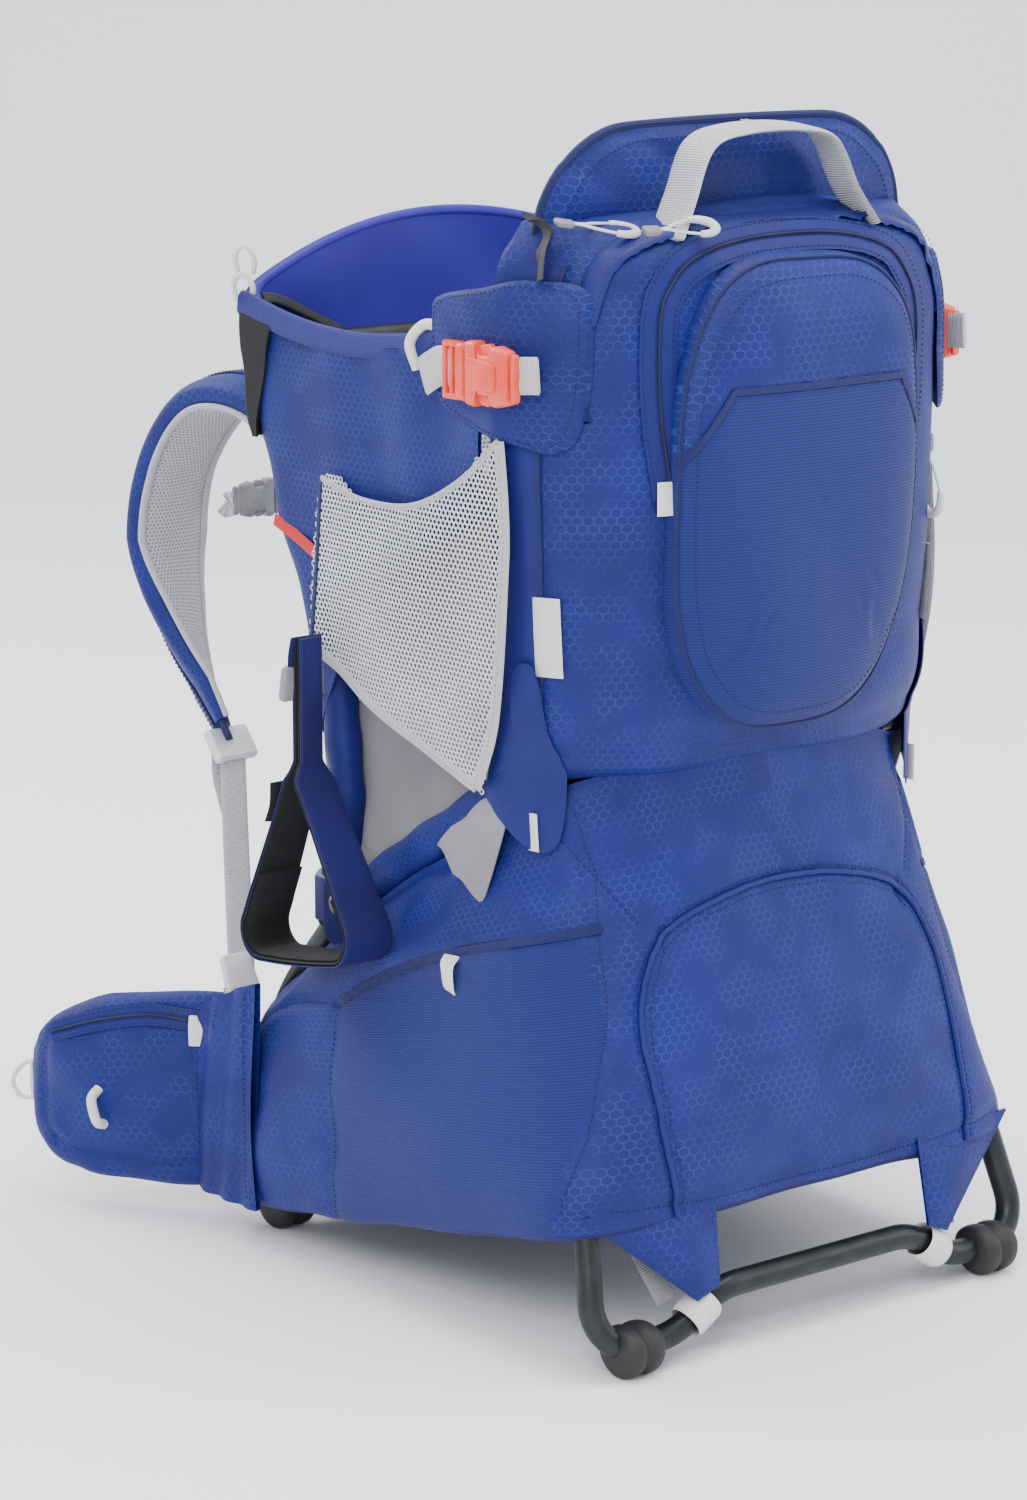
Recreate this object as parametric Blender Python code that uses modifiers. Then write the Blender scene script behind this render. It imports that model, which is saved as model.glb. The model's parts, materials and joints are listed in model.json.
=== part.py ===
"""Child carrier backpack with a folding kickstand, as separate named pieces.

Metres, +Z up. The wearer faces +Y, the pockets face -Y, and the wearer's left is -X.
Heights are measured from the ground, and depths from the middle between the four feet. The empty
"ground_centre" then moves everything so that the origin is at the bottom centre of the whole box.
"""

import math

import bmesh
import bpy
from mathutils import Matrix, Vector

for old in list(bpy.data.objects):
    bpy.data.objects.remove(old, do_unlink=True)

# ---- driving dimensions ----
CLEAR = 0.0004              # gap left between pieces that touch
TUBE_OD = 0.016             # aluminium frame tube
FEET_SPAN_X = 0.296         # between the left and right feet
FEET_SPAN_Y = 0.353         # between the front feet and the kickstand feet
FOOT_LENGTH = 0.028
FOOT_OD = 0.036
FRAME_WIDTH = 0.310         # between the centres of the main frame's side tubes
BAR_RISE = 0.022            # how far the ground bars rise between their feet
STAND_SPLAY = 0.050         # how much wider the kickstand is at the ground, each side
PACK_WIDTH = 0.330          # across the fabric of the upper pack
WAIST_HEIGHT = 0.345        # kickstand hinge, where the upper and lower packs meet
COCKPIT_HEIGHT = 0.250      # from the waist to the lowest point of the cockpit rim
DRAWER_RISE = 0.062         # how far the front wall stands above the lowest rim
HEADREST_RISE = 0.137       # headrest top above the lowest rim
WAIST_REAR = 0.076          # kickstand hinge, behind the middle of the feet
PACK_REAR = 0.150           # rear face of the upper pack, behind the middle of the feet
POCKET_DEPTH = 0.022        # how far the rear pocket stands out
LUMBAR_HEIGHT = 0.305       # where the back panel is nearest to the child
LUMBAR_FRONT = 0.100
WALL = 0.004                # cockpit wall
PANEL_THICK = 0.016         # back panel foam
STRAP_WIDTH = 0.068         # shoulder strap
STRAP_THICK = 0.016
STRAP_REACH = 0.215         # how far the shoulder straps bow out in front of the yoke
BELT_HEIGHT = 0.135         # hipbelt wing at its root
BELT_REACH = 0.150          # length of a hipbelt wing
BELT_THICK = 0.036
BELT_LOW = 0.020            # lower edge of the wing at its root
STIRRUP_WIDTH = 0.030
WEB_THICK = 0.003
BUCKLE_LENGTH = 0.040
BUCKLE_WIDTH = 0.034
BUCKLE_THICK = 0.011
PLUG_TRAVEL = 0.030

# ---- sizes that follow from them ----
TUBE_R = TUBE_OD / 2
FRAME_X = FRAME_WIDTH / 2
FEET_X = FEET_SPAN_X / 2
FEET_Y = FEET_SPAN_Y / 2
FOOT_Z = FOOT_OD / 2
SIDE_X = PACK_WIDTH / 2
RIM_Z = WAIST_HEIGHT + COCKPIT_HEIGHT
TOP_Z = RIM_Z + HEADREST_RISE
STAND_X = FRAME_X - TUBE_OD - 0.008
STAND_FOOT_X = STAND_X + STAND_SPLAY
HOOP_Y = -WAIST_REAR
TOP_BAR_Z = RIM_Z - 0.012

# the side tubes of the main frame, seen from the side: (depth, height)
FRAME_SIDE = [
    (FEET_Y + 0.002, BELT_LOW + BELT_HEIGHT - 0.005),
    (LUMBAR_FRONT + 0.010, LUMBAR_HEIGHT - 0.080),
    (LUMBAR_FRONT, LUMBAR_HEIGHT),
    (LUMBAR_FRONT + 0.014, LUMBAR_HEIGHT + 0.110),
    (LUMBAR_FRONT + 0.064, TOP_BAR_Z - 0.045),
    (LUMBAR_FRONT + 0.072, TOP_BAR_Z),
]


def frame_depth(height):
    """Depth of the main frame's side tube at a height, by straight runs between its bends."""
    low = FRAME_SIDE[0]
    for high in FRAME_SIDE[1:]:
        if height <= high[1]:
            part = max(0.0, (height - low[1]) / (high[1] - low[1]))
            return low[0] + (high[0] - low[0]) * part
        low = high
    return low[0]


YOKE_LOW = LUMBAR_HEIGHT + 0.110
YOKE_HIGH = YOKE_LOW + 0.075
YOKE_Y = frame_depth(YOKE_LOW) + PANEL_THICK / 2

pieces = bpy.data.collections.new("child_carrier")
bpy.context.scene.collection.children.link(pieces)
cutters = bpy.data.collections.new("cutters")
bpy.context.scene.collection.children.link(cutters)

ground_centre = bpy.data.objects.new("ground_centre", None)
pieces.objects.link(ground_centre)


# ---- helpers ----
def material(name, colour, roughness, metallic=0.0):
    made = bpy.data.materials.new(name)
    made.use_nodes = True
    shader = made.node_tree.nodes["Principled BSDF"]
    shader.inputs["Base Color"].default_value = (*colour, 1)
    shader.inputs["Roughness"].default_value = roughness
    shader.inputs["Metallic"].default_value = metallic
    return made


BLUE = material("blue_ripstop", (0.035, 0.075, 0.33), 0.6)
DARK_BLUE = material("dark_blue_webbing", (0.02, 0.02, 0.15), 0.7)
GREY = material("grey_lining", (0.19, 0.18, 0.2), 0.8)
MESH = material("grey_mesh", (0.5, 0.5, 0.52), 0.8)
WEB = material("pale_webbing", (0.6, 0.6, 0.62), 0.7)
PALE = material("pale_acetal", (0.6, 0.6, 0.62), 0.4)
RED = material("red_acetal", (0.75, 0.12, 0.1), 0.35)
TUBE = material("grey_anodised_tube", (0.07, 0.075, 0.08), 0.4, 0.9)
RUBBER = material("black_rubber", (0.03, 0.03, 0.035), 0.75)
STEEL = material("steel", (0.4, 0.4, 0.42), 0.35, 1.0)


def place(name, data, origin, finish, collection=None):
    """One object with its origin at a point of the feet-centred frame."""
    made = bpy.data.objects.new(name, data)
    made.location = origin
    made.parent = ground_centre
    (collection or pieces).objects.link(made)
    data.materials.append(finish)
    return made


def mesh_piece(name, points, faces, finish, origin=(0, 0, 0)):
    start = Vector(origin)
    data = bpy.data.meshes.new(name)
    data.from_pydata([Vector(p) - start for p in points], [], faces)
    data.update()
    return place(name, data, origin, finish)


def bmesh_piece(name, shape, finish, origin=(0, 0, 0)):
    """A bmesh already shaped around its origin becomes a piece."""
    data = bpy.data.meshes.new(name)
    shape.to_mesh(data)
    shape.free()
    return place(name, data, origin, finish)


def rounded_path(corners, radii, step=math.radians(15), closed=False):
    """Points of a polyline with each corner turned into an arc of its radius."""
    corners = [Vector(c) for c in corners]
    count = len(corners)
    points = []
    for i, corner in enumerate(corners):
        radius = radii[i]
        if not closed and i in (0, count - 1) or radius <= 0:
            points.append(corner)
            continue
        to_last = (corners[i - 1] - corner).normalized()
        to_next = (corners[(i + 1) % count] - corner).normalized()
        turn = math.pi - to_last.angle(to_next)
        if turn < math.radians(1):
            points.append(corner)
            continue
        reach = radius * math.tan(turn / 2)
        longest = 0.48 * min((corners[i - 1] - corner).length, (corners[(i + 1) % count] - corner).length)
        if reach > longest:
            radius *= longest / reach
            reach = longest
        middle = corner + (to_last + to_next).normalized() * (radius / math.cos(turn / 2))
        first = corner + to_last * reach - middle
        axis = first.cross(corner + to_next * reach - middle).normalized()
        parts = max(1, round(turn / step))
        for k in range(parts + 1):
            points.append(middle + Matrix.Rotation(turn * k / parts, 3, axis) @ first)
    return points


def smooth_route(route, spacing):
    """Points read at an even spacing from a smooth curve through the route's own points."""
    route = [Vector(p) for p in route]
    ends = [route[0] * 2 - route[1], *route, route[-1] * 2 - route[-2]]
    fine = []
    for a, b, c, d in zip(ends, ends[1:], ends[2:], ends[3:]):
        for k in range(16):
            t = k / 16
            fine.append(
                0.5 * (2 * b + (c - a) * t + (2 * a - 5 * b + 4 * c - d) * t * t
                       + (3 * b - 3 * c + d - a) * t ** 3)
            )
    fine.append(route[-1])
    length = sum((q - p).length for p, q in zip(fine, fine[1:]))
    parts = max(2, round(length / spacing))
    points, gone, at = [fine[0]], 0.0, 1
    for k in range(1, parts):
        want = length * k / parts
        while gone + (fine[at] - fine[at - 1]).length < want:
            gone += (fine[at] - fine[at - 1]).length
            at += 1
        part = (want - gone) / (fine[at] - fine[at - 1]).length
        points.append(fine[at - 1].lerp(fine[at], part))
    return [*points, fine[-1]]


def tube(name, points, radius, finish, closed=False, origin=(0, 0, 0), sides=2, collection=None):
    start = Vector(origin)
    data = bpy.data.curves.new(name, "CURVE")
    data.dimensions = "3D"
    data.bevel_depth = radius
    data.bevel_resolution = sides
    data.use_fill_caps = True
    spline = data.splines.new("POLY")
    spline.points.add(len(points) - 1)
    for slot, point in zip(spline.points, points):
        slot.co = (*(Vector(point) - start), 1)
    spline.use_cyclic_u = closed
    return place(name, data, origin, finish, collection)


def mesh_of(curve_object):
    """The mesh of a curve piece, with its caps welded."""
    bpy.context.view_layer.update()
    evaluated = curve_object.evaluated_get(bpy.context.evaluated_depsgraph_get())
    data = bpy.data.meshes.new_from_object(evaluated)
    shape = bmesh.new()
    shape.from_mesh(data)
    bmesh.ops.remove_doubles(shape, verts=shape.verts, dist=0.00001)
    shape.to_mesh(data)
    shape.free()
    return data


def tube_cutter(name, points, radius, closed=False):
    curve = tube(name, points, radius, RUBBER, closed=closed, sides=2, collection=cutters)
    data = mesh_of(curve)
    bpy.data.objects.remove(curve, do_unlink=True)
    made = place(name + "_cutter", data, (0, 0, 0), RUBBER, cutters)
    made.hide_render = True
    made.display_type = "WIRE"
    return made


def cut(piece, cutter):
    hole = piece.modifiers.new("cut", "BOOLEAN")
    hole.operation = "DIFFERENCE"
    hole.object = cutter


def ribbon(name, points, width, thickness, across, finish, origin=(0, 0, 0), closed=False):
    """Flat webbing along a path, its width lying in the given direction at each point."""
    start = Vector(origin)
    directions = across if isinstance(across, list) else [across] * len(points)
    verts = []
    for point, direction in zip(points, directions):
        half = Vector(direction).normalized() * width / 2
        verts += [Vector(point) - half - start, Vector(point) + half - start]
    last = len(points) if closed else len(points) - 1
    faces = []
    for k in range(last):
        a, b = 2 * k, 2 * ((k + 1) % len(points))
        faces.append((a, a + 1, b + 1, b))
    data = bpy.data.meshes.new(name)
    data.from_pydata(verts, [], faces)
    made = place(name, data, origin, finish)
    solid = made.modifiers.new("thickness", "SOLIDIFY")
    solid.thickness = thickness
    solid.offset = 0
    return made


def outward(made):
    """Turns all faces of a closed mesh outwards."""
    shape = bmesh.new()
    shape.from_mesh(made.data)
    bmesh.ops.recalc_face_normals(shape, faces=shape.faces)
    shape.to_mesh(made.data)
    shape.free()
    return made


def loft(name, rings, finish, origin=(0, 0, 0)):
    """A closed skin over rings of equally many points, capped at both ends."""
    count = len(rings[0])
    verts = [p for ring in rings for p in ring]
    faces = []
    for r in range(len(rings) - 1):
        for k in range(count):
            a, b = r * count + k, r * count + (k + 1) % count
            faces.append((a, b, b + count, a + count))
    faces.append(tuple(range(count))[::-1])
    faces.append(tuple(range((len(rings) - 1) * count, len(rings) * count)))
    return outward(mesh_piece(name, verts, faces, finish, origin))


def block(name, centre, size, finish, bevel=0.0, origin=None, turn=None):
    """A box with rounded edges, its origin where it turns or slides from."""
    start = Vector(origin if origin is not None else centre)
    shape = bmesh.new()
    bmesh.ops.create_cube(shape, size=1)
    bmesh.ops.scale(shape, verts=shape.verts, vec=size)
    if turn is not None:
        bmesh.ops.rotate(shape, verts=shape.verts, cent=(0, 0, 0), matrix=turn)
    bmesh.ops.translate(shape, verts=shape.verts, vec=Vector(centre) - start)
    made = bmesh_piece(name, shape, finish, start)
    if bevel:
        edge = made.modifiers.new("edge", "BEVEL")
        edge.width = bevel
        edge.segments = 1
    return made


def turned(name, profile, centre, along, finish, steps=20):
    """A turned piece: (radius, height) pairs from the top down, spun about the direction along."""
    data = bpy.data.meshes.new(name)
    data.from_pydata([(r, 0, h) for r, h in profile], [(k, k + 1) for k in range(len(profile) - 1)], [])
    made = place(name, data, centre, finish)
    made.rotation_euler = Vector(along).to_track_quat("Z", "Y").to_euler()
    spin = made.modifiers.new("spin", "SCREW")
    spin.steps = steps
    spin.render_steps = steps
    spin.use_merge_vertices = True
    spin.merge_threshold = 0.0001
    return made


def oval(x_half, y_low, y_high, height, corner, tilt=0.0, count=5):
    """A ring of points: a rectangle with round corners, lying level or tilted fore and aft."""
    ring = []
    centres = [
        (x_half - corner, y_high - corner, 0.0),
        (-x_half + corner, y_high - corner, 90.0),
        (-x_half + corner, y_low + corner, 180.0),
        (x_half - corner, y_low + corner, 270.0),
    ]
    for cx, cy, turn in centres:
        for k in range(count):
            angle = math.radians(turn + 90.0 * k / (count - 1))
            x = cx + corner * math.cos(angle)
            y = cy + corner * math.sin(angle)
            ring.append((x, y, height + tilt * (y - y_low)))
    return ring


SIDES = (("left", -1), ("right", 1))


# ---- frame ----
BRACKET_AT = (LUMBAR_FRONT + 0.007, LUMBAR_HEIGHT - 0.066)


def main_frame_path():
    half = [
        (0.080, FEET_Y, FOOT_Z + BAR_RISE),
        (FEET_X - 0.034, FEET_Y, FOOT_Z),
        (FRAME_X + 0.016, FEET_Y, FOOT_Z),
    ]
    half += [(FRAME_X, y, z) for y, z in FRAME_SIDE]
    half_radii = [0.05, 0.05, 0.028, 0.10, 0.06, 0.20, 0.20, 0.10, 0.04]
    left = [(-x, y, z) for x, y, z in reversed(half)]
    return rounded_path(half + left, half_radii + half_radii[::-1], math.radians(20), closed=True)


def stand_path():
    half = [
        (0.080, -FEET_Y, FOOT_Z + BAR_RISE),
        (FEET_X - 0.034, -FEET_Y, FOOT_Z),
        (STAND_FOOT_X, -FEET_Y, FOOT_Z),
        (STAND_X, -WAIST_REAR - 0.004, WAIST_HEIGHT - 0.0145),
    ]
    left = [(-x, y, z) for x, y, z in reversed(half)]
    return rounded_path(left + half, [0, 0.034, 0.05, 0.05, 0.05, 0.05, 0.034, 0], math.radians(15))


def hoop_path():
    y, z = BRACKET_AT
    start = (FRAME_X, y - 0.020, z + 0.006)
    half = [
        start,
        (FRAME_X, HOOP_Y, WAIST_HEIGHT + 0.004),
        (FRAME_X, HOOP_Y, RIM_Z - 0.04),
        (0.118, HOOP_Y, TOP_Z - 0.024),
    ]
    left = [(-x, y, z) for x, y, z in reversed(half)]
    return rounded_path(left + half, [0, 0.030, 0.12, 0.05, 0.05, 0.12, 0.030, 0], math.radians(18))


def frame():
    tube("main_frame_tube", main_frame_path(), TUBE_R, TUBE, closed=True)
    tube("rear_hoop_tube", hoop_path(), TUBE_R, TUBE)
    tube("kickstand_tube", stand_path(), TUBE_R, TUBE, origin=(0, -WAIST_REAR, WAIST_HEIGHT))
    for side, s in SIDES:
        foot("frame_foot_" + side, s * FEET_X, FEET_Y, (s * FEET_X, FEET_Y, FOOT_Z), main_frame_path(), True)
        foot("kickstand_foot_" + side, s * FEET_X, -FEET_Y, (0, -WAIST_REAR, WAIST_HEIGHT), stand_path(), False)
        bracket(side, s)
        hinge(side, s)
        anchor_strap(side, s)


def foot(name, x, y, origin, path, closed):
    """Rubber foot: a flat-bottomed sleeve clamped round the ground bar."""
    half = FOOT_OD / 2
    outline = [(half * math.cos(math.radians(a)), FOOT_Z + half * math.sin(math.radians(a)))
               for a in range(-30, 211, 30)]
    outline += [(-half * 0.62, 0.0), (half * 0.62, 0.0)]
    rings = [[(x + e, y + d, z) for d, z in outline] for e in (-FOOT_LENGTH / 2, FOOT_LENGTH / 2)]
    made = loft(name, rings, RUBBER, origin)
    cut(made, tube_cutter(name, path, (TUBE_R + CLEAR) * 1.04, closed))


def bracket(side, s):
    """Moulded bracket that clamps the main tube and carries the end of the rear hoop."""
    y, z = BRACKET_AT
    name = "frame_bracket_" + side
    made = block(name, (s * FRAME_X, y - 0.010, z), (0.022, 0.048, 0.036), DARK_BLUE, 0.004)
    cut(made, tube_cutter(name + "_main", main_frame_path(), (TUBE_R + CLEAR) * 1.04, closed=True))
    cut(made, tube_cutter(name + "_hoop", hoop_path(), (TUBE_R + CLEAR) * 1.04))
    head = [(0, 0.0035), (0.004, 0.0032), (0.0065, 0.0015), (0.0065, 0), (0, 0)]
    rivet_x = s * (FRAME_X + 0.011 + CLEAR)
    turned("frame_rivet_" + side, head, (rivet_x, y - 0.014, z), (s, 0, 0), STEEL)


def hinge(side, s):
    """Lug on the kickstand leg, turning on a shouldered pin fixed to the rear hoop."""
    eye = "kickstand_lug_" + side
    centre = (s * STAND_X, -WAIST_REAR, WAIST_HEIGHT)
    made = block(eye, centre, (0.014, 0.024, 0.024), RUBBER, 0.005, origin=(0, -WAIST_REAR, WAIST_HEIGHT))
    pin_r = 0.004
    bore = [(s * (STAND_X - 0.02), -WAIST_REAR, WAIST_HEIGHT), (s * (STAND_X + 0.02), -WAIST_REAR, WAIST_HEIGHT)]
    cut(made, tube_cutter(eye, bore, (pin_r + CLEAR) * 1.08))
    inner = -0.009
    outer = FRAME_X - TUBE_R - STAND_X - CLEAR
    pin = [(0, outer), (0.007, outer), (0.007, 0.0078), (pin_r, 0.0078), (pin_r, inner), (0, inner)]
    turned("kickstand_pin_" + side, pin, centre, (s, 0, 0), STEEL)


def anchor_strap(side, s):
    """Pale webbing wrapped round the kickstand bar, which the fabric corner is sewn to."""
    high = Vector((s * 0.080, -FEET_Y, FOOT_Z + BAR_RISE))
    low = Vector((s * (FEET_X - 0.034), -FEET_Y, FOOT_Z))
    run = (low - high).normalized()
    aside = Vector((0, 1, 0))
    rise = run.cross(aside)
    radius = TUBE_R + 0.0035
    middle = (high + low) / 2
    loop = [middle + aside * radius * math.cos(math.radians(a)) + rise * radius * math.sin(math.radians(a))
            for a in range(0, 360, 30)]
    ribbon("kickstand_strap_" + side, loop, 0.016, 0.0015, run, WEB,
           origin=(0, -WAIST_REAR, WAIST_HEIGHT), closed=True)


# ---- soft packs ----
def packs():
    lower_pack()
    upper_pack()
    rear_pocket()
    headrest()
    grab_handle()


def lower_pack():
    """The lower compartment, between the main frame and the kickstand legs."""
    rear = -FEET_Y + 0.026
    top = WAIST_HEIGHT - 0.040
    front = LUMBAR_FRONT - 0.030
    side = FRAME_X + TUBE_R + 0.006
    rings = [
        oval(side - 0.010, rear + 0.012, FEET_Y - 0.022, 0.080, 0.030, -0.17),
        oval(side, rear, FEET_Y - 0.018, 0.098, 0.030, -0.17),
        oval(side, rear + 0.008, FEET_Y - 0.030, 0.150, 0.034, -0.12),
        oval(side - 0.002, rear + 0.030, front + 0.030, 0.215, 0.034, -0.10),
        oval(side - 0.010, rear + 0.044, front, 0.262, 0.034, -0.20),
        oval(side - 0.024, rear + 0.050, front - 0.030, top, 0.032, -0.32),
    ]
    made = loft("lower_pack", rings, BLUE)
    cut(made, tube_cutter("lower_pack_stand", stand_path(), TUBE_R + 0.0015))
    cut(made, tube_cutter("lower_pack_frame", main_frame_path(), TUBE_R + 0.0015, closed=True))
    cut(made, tube_cutter("lower_pack_hoop", hoop_path(), TUBE_R + 0.0015))


def d_ring(x_half, y_front, y_rear, height, power=2.2, count=10):
    """A ring with a flat front and a round rear, as a superellipse."""
    ring = [(x_half, y_front, height), (0, y_front, height), (-x_half, y_front, height)]
    side = y_front - 0.012
    for k in range(count + 1):
        angle = math.pi + math.pi * k / count
        c, s = math.cos(angle), math.sin(angle)
        x = x_half * math.copysign(abs(c) ** (2 / power), c)
        y = side - (side - y_rear) * abs(s) ** (2 / power)
        ring.append((x, y, height))
    return ring


def upper_pack():
    """The main compartment behind the child."""
    front = HOOP_Y - TUBE_R - 0.004
    rings = [
        d_ring(SIDE_X - 0.024, front, -PACK_REAR + 0.022, WAIST_HEIGHT + 0.024),
        d_ring(SIDE_X - 0.006, front, -PACK_REAR + 0.006, WAIST_HEIGHT + 0.046),
        d_ring(SIDE_X, front, -PACK_REAR, WAIST_HEIGHT + 0.150),
        d_ring(SIDE_X, front, -PACK_REAR, RIM_Z),
        d_ring(SIDE_X - 0.008, front, -PACK_REAR + 0.006, RIM_Z + 0.045),
        d_ring(SIDE_X - 0.026, front, -PACK_REAR + 0.018, RIM_Z + 0.066),
    ]
    loft("upper_pack", rings, BLUE)


def rear_pocket():
    """The raised pocket on the rear face of the upper pack."""
    low, high = WAIST_HEIGHT + 0.046, RIM_Z + 0.056
    half = SIDE_X - 0.067
    back = -PACK_REAR - CLEAR
    rings = []
    for rise, inset in ((0.0, 0.0), (0.7, 0.004), (1.0, 0.022)):
        y = back - POCKET_DEPTH * rise
        ring = []
        for cx, cz, turn in ((1, 1, 0), (-1, 1, 90), (-1, -1, 180), (1, -1, 270)):
            corner = 0.045
            for k in range(5):
                angle = math.radians(turn + 22.5 * k)
                x = cx * (half - corner) + (corner - inset) * math.cos(angle)
                z = (low + high) / 2 + cz * ((high - low) / 2 - corner) + (corner - inset) * math.sin(angle)
                ring.append((x, y, z))
        rings.append(ring)
    loft("rear_pocket", rings, BLUE)


def headrest():
    """Padded panel in front of the top of the rear hoop."""
    low = RIM_Z - 0.030
    y = HOOP_Y + TUBE_R + 0.002
    rings = []
    half = 0.142
    for depth, inset in ((0.0, 0.0), (0.012, 0.0)):
        ring = []
        for cx, turn, corner in ((1, 0, 0.060), (-1, 90, 0.060)):
            for k in range(6):
                angle = math.radians(turn + 18 * k)
                x = cx * (half - corner) + corner * math.cos(angle)
                ring.append((x, y + depth, TOP_Z - corner + corner * math.sin(angle)))
        ring += [(-half + 0.006, y + depth, low), (half - 0.006, y + depth, low)]
        rings.append(ring)
    loft("headrest", rings, BLUE)


def grab_handle():
    """Webbing handle that arches between the tops of the upper pack's side seams."""
    base_x, base_z = 0.068, RIM_Z + 0.076
    top_z = TOP_Z - 0.002
    y = HOOP_Y - 0.040
    rise = top_z - base_z
    corners = [(-base_x, y, base_z), (-base_x + 0.014, y, base_z + rise), (base_x - 0.014, y, base_z + rise),
               (base_x, y, base_z)]
    points = rounded_path(corners, [0, 0.03, 0.03, 0], math.radians(15))
    ribbon("grab_handle", points, 0.024, WEB_THICK, (0, 1, 0), WEB, origin=(0, y, base_z))


# ---- cockpit and seat ----
WALL_GAP = 0.0025
WALL_X = FRAME_X + TUBE_R + WALL_GAP
WALL_REAR = HOOP_Y + TUBE_R + 0.022
OUTSIDE_X = max(WALL_X + WALL, SIDE_X) + 0.001      # clear of the cockpit and of the upper pack


def cockpit():
    """A band round the outside of the frame: two deep sides and the shallow front wall."""
    stations = [("left", k / 7) for k in range(7)]
    stations += [("left_corner", k / 4) for k in range(4)]
    stations += [("front", k / 8) for k in range(9)]
    stations += [("right_corner", k / 4) for k in range(1, 4)]
    stations += [("right", k / 7) for k in range(8)]
    rows = 6
    verts = []
    for r in range(rows + 1):
        for run, part in stations:
            low, high = cockpit_edges(run, part)
            z = low + (high - low) * r / rows
            x, y = cockpit_plan(run, part, z)
            verts.append((x, y, z))
    faces = []
    wide = len(stations)
    for r in range(rows):
        for c in range(wide - 1):
            a = r * wide + c
            faces.append((a, a + wide, a + wide + 1, a + 1))
    made = mesh_piece("cockpit_wall", verts, faces, BLUE)
    solid = made.modifiers.new("wall", "SOLIDIFY")
    solid.thickness = WALL
    solid.offset = 1


def cockpit_plan(run, part, z):
    """Point of the wall's inner face, going from the left rear round the front to the right rear."""
    corner = TUBE_R + 0.0015
    front = frame_depth(min(z, TOP_BAR_Z)) + TUBE_R + WALL_GAP
    inner_x, inner_y = WALL_X - corner, front - corner
    angle = part * math.pi / 2
    if run == "left":
        return -WALL_X, WALL_REAR + (inner_y - WALL_REAR) * part
    if run == "left_corner":
        return -inner_x - corner * math.cos(angle), inner_y + corner * math.sin(angle)
    if run == "front":
        return inner_x * (2 * part - 1), front
    if run == "right_corner":
        return inner_x + corner * math.sin(angle), inner_y + corner * math.cos(angle)
    return WALL_X, inner_y + (WALL_REAR - inner_y) * part


def cockpit_edges(run, part):
    """Heights of the hem and the rim. The front wall starts above the yoke's highest place."""
    front_hem = TOP_BAR_Z - 0.035
    corner_rim = RIM_Z + 0.014
    if run == "front":
        return front_hem, corner_rim + (DRAWER_RISE - 0.014) * math.sin(part * math.pi)
    if run in ("left_corner", "right_corner"):
        return front_hem, corner_rim
    ahead = part if run == "left" else 1 - part
    dip = (ahead - 0.5) / 0.5
    hem = WAIST_HEIGHT + 0.075 if ahead < 0.8 else front_hem
    return hem, RIM_Z + 0.014 * dip * dip


def seat():
    """Grey saddle with raised sides, a back pad, and the child's harness."""
    rows, columns = 8, 10
    front, rear = LUMBAR_FRONT - 0.030, WALL_REAR + 0.004
    half, low = 0.104, WAIST_HEIGHT - 0.010
    verts = []
    for r in range(rows + 1):
        y = rear + (front - rear) * r / rows
        rise = 0.130 if r < rows * 0.45 else 0.050
        for c in range(columns + 1):
            side = 2 * c / columns - 1
            x = half * math.sin(side * math.pi / 2)
            z = low + rise * abs(side) ** 3
            verts.append((x, y, z))
    faces = []
    for r in range(rows):
        for c in range(columns):
            a = r * (columns + 1) + c
            faces.append((a, a + 1, a + columns + 2, a + columns + 1))
    made = mesh_piece("seat_saddle", verts, faces, GREY)
    solid = made.modifiers.new("wall", "SOLIDIFY")
    solid.thickness = 0.010
    solid.offset = -1
    y = WALL_REAR - 0.010
    block("seat_back", (0, y, (low + 0.020 + RIM_Z - 0.034) / 2), (0.190, 0.014, RIM_Z - low - 0.054), GREY, 0.004)
    for side, s in SIDES:
        route = [
            (s * 0.055, y + 0.018, RIM_Z - 0.010),
            (s * 0.058, y + 0.038, RIM_Z + 0.036),
            (s * 0.058, y + 0.072, RIM_Z + 0.030),
            (s * 0.050, y + 0.092, RIM_Z - 0.030),
            (s * 0.036, y + 0.098, RIM_Z - 0.100),
        ]
        ribbon("child_strap_" + side, smooth_route(route, 0.018), 0.046, 0.009, (1, 0, 0.0), DARK_BLUE)
    buckle("child_buckle", (0, y + 0.100, RIM_Z - 0.122), (0, 0, 1), (0, 1, 0), PALE, scale=0.8)


def mesh_pockets():
    """Stretch mesh pockets on the cockpit's sides."""
    low, high = WAIST_HEIGHT, RIM_Z
    outline = [
        (LUMBAR_FRONT - 0.002, high - 0.100),
        (WALL_REAR - 0.026, high - 0.044),
        (-WAIST_REAR + 0.006, low + 0.018),
        (-WAIST_REAR + 0.023, low + 0.004),
        (LUMBAR_FRONT + 0.008, low + 0.052),
    ]
    for side, s in SIDES:
        near, far = s * OUTSIDE_X, s * (OUTSIDE_X + 0.005)
        rings = [[(x, y, z) for y, z in outline] for x in (near, far)]
        loft("mesh_pocket_" + side, rings, MESH)


# ---- harness ----
def harness():
    back_panel()
    yoke()
    for side, s in SIDES:
        shoulder_strap(side, s)
        hipbelt(side, s)
        stirrup(side, s)
    sternum()


def slab(name, half, heights, offset, thick, finish, origin=(0, 0, 0)):
    """A panel that follows the frame's side profile, with its rear face at an offset from the tubes."""
    rear = [(frame_depth(z) + offset, z) for z in heights]
    outline = rear + [(y + thick, z) for y, z in reversed(rear)]
    rings = [[(x, y, z) for y, z in outline] for x in (-half, half)]
    return loft(name, rings, finish, origin)


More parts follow.
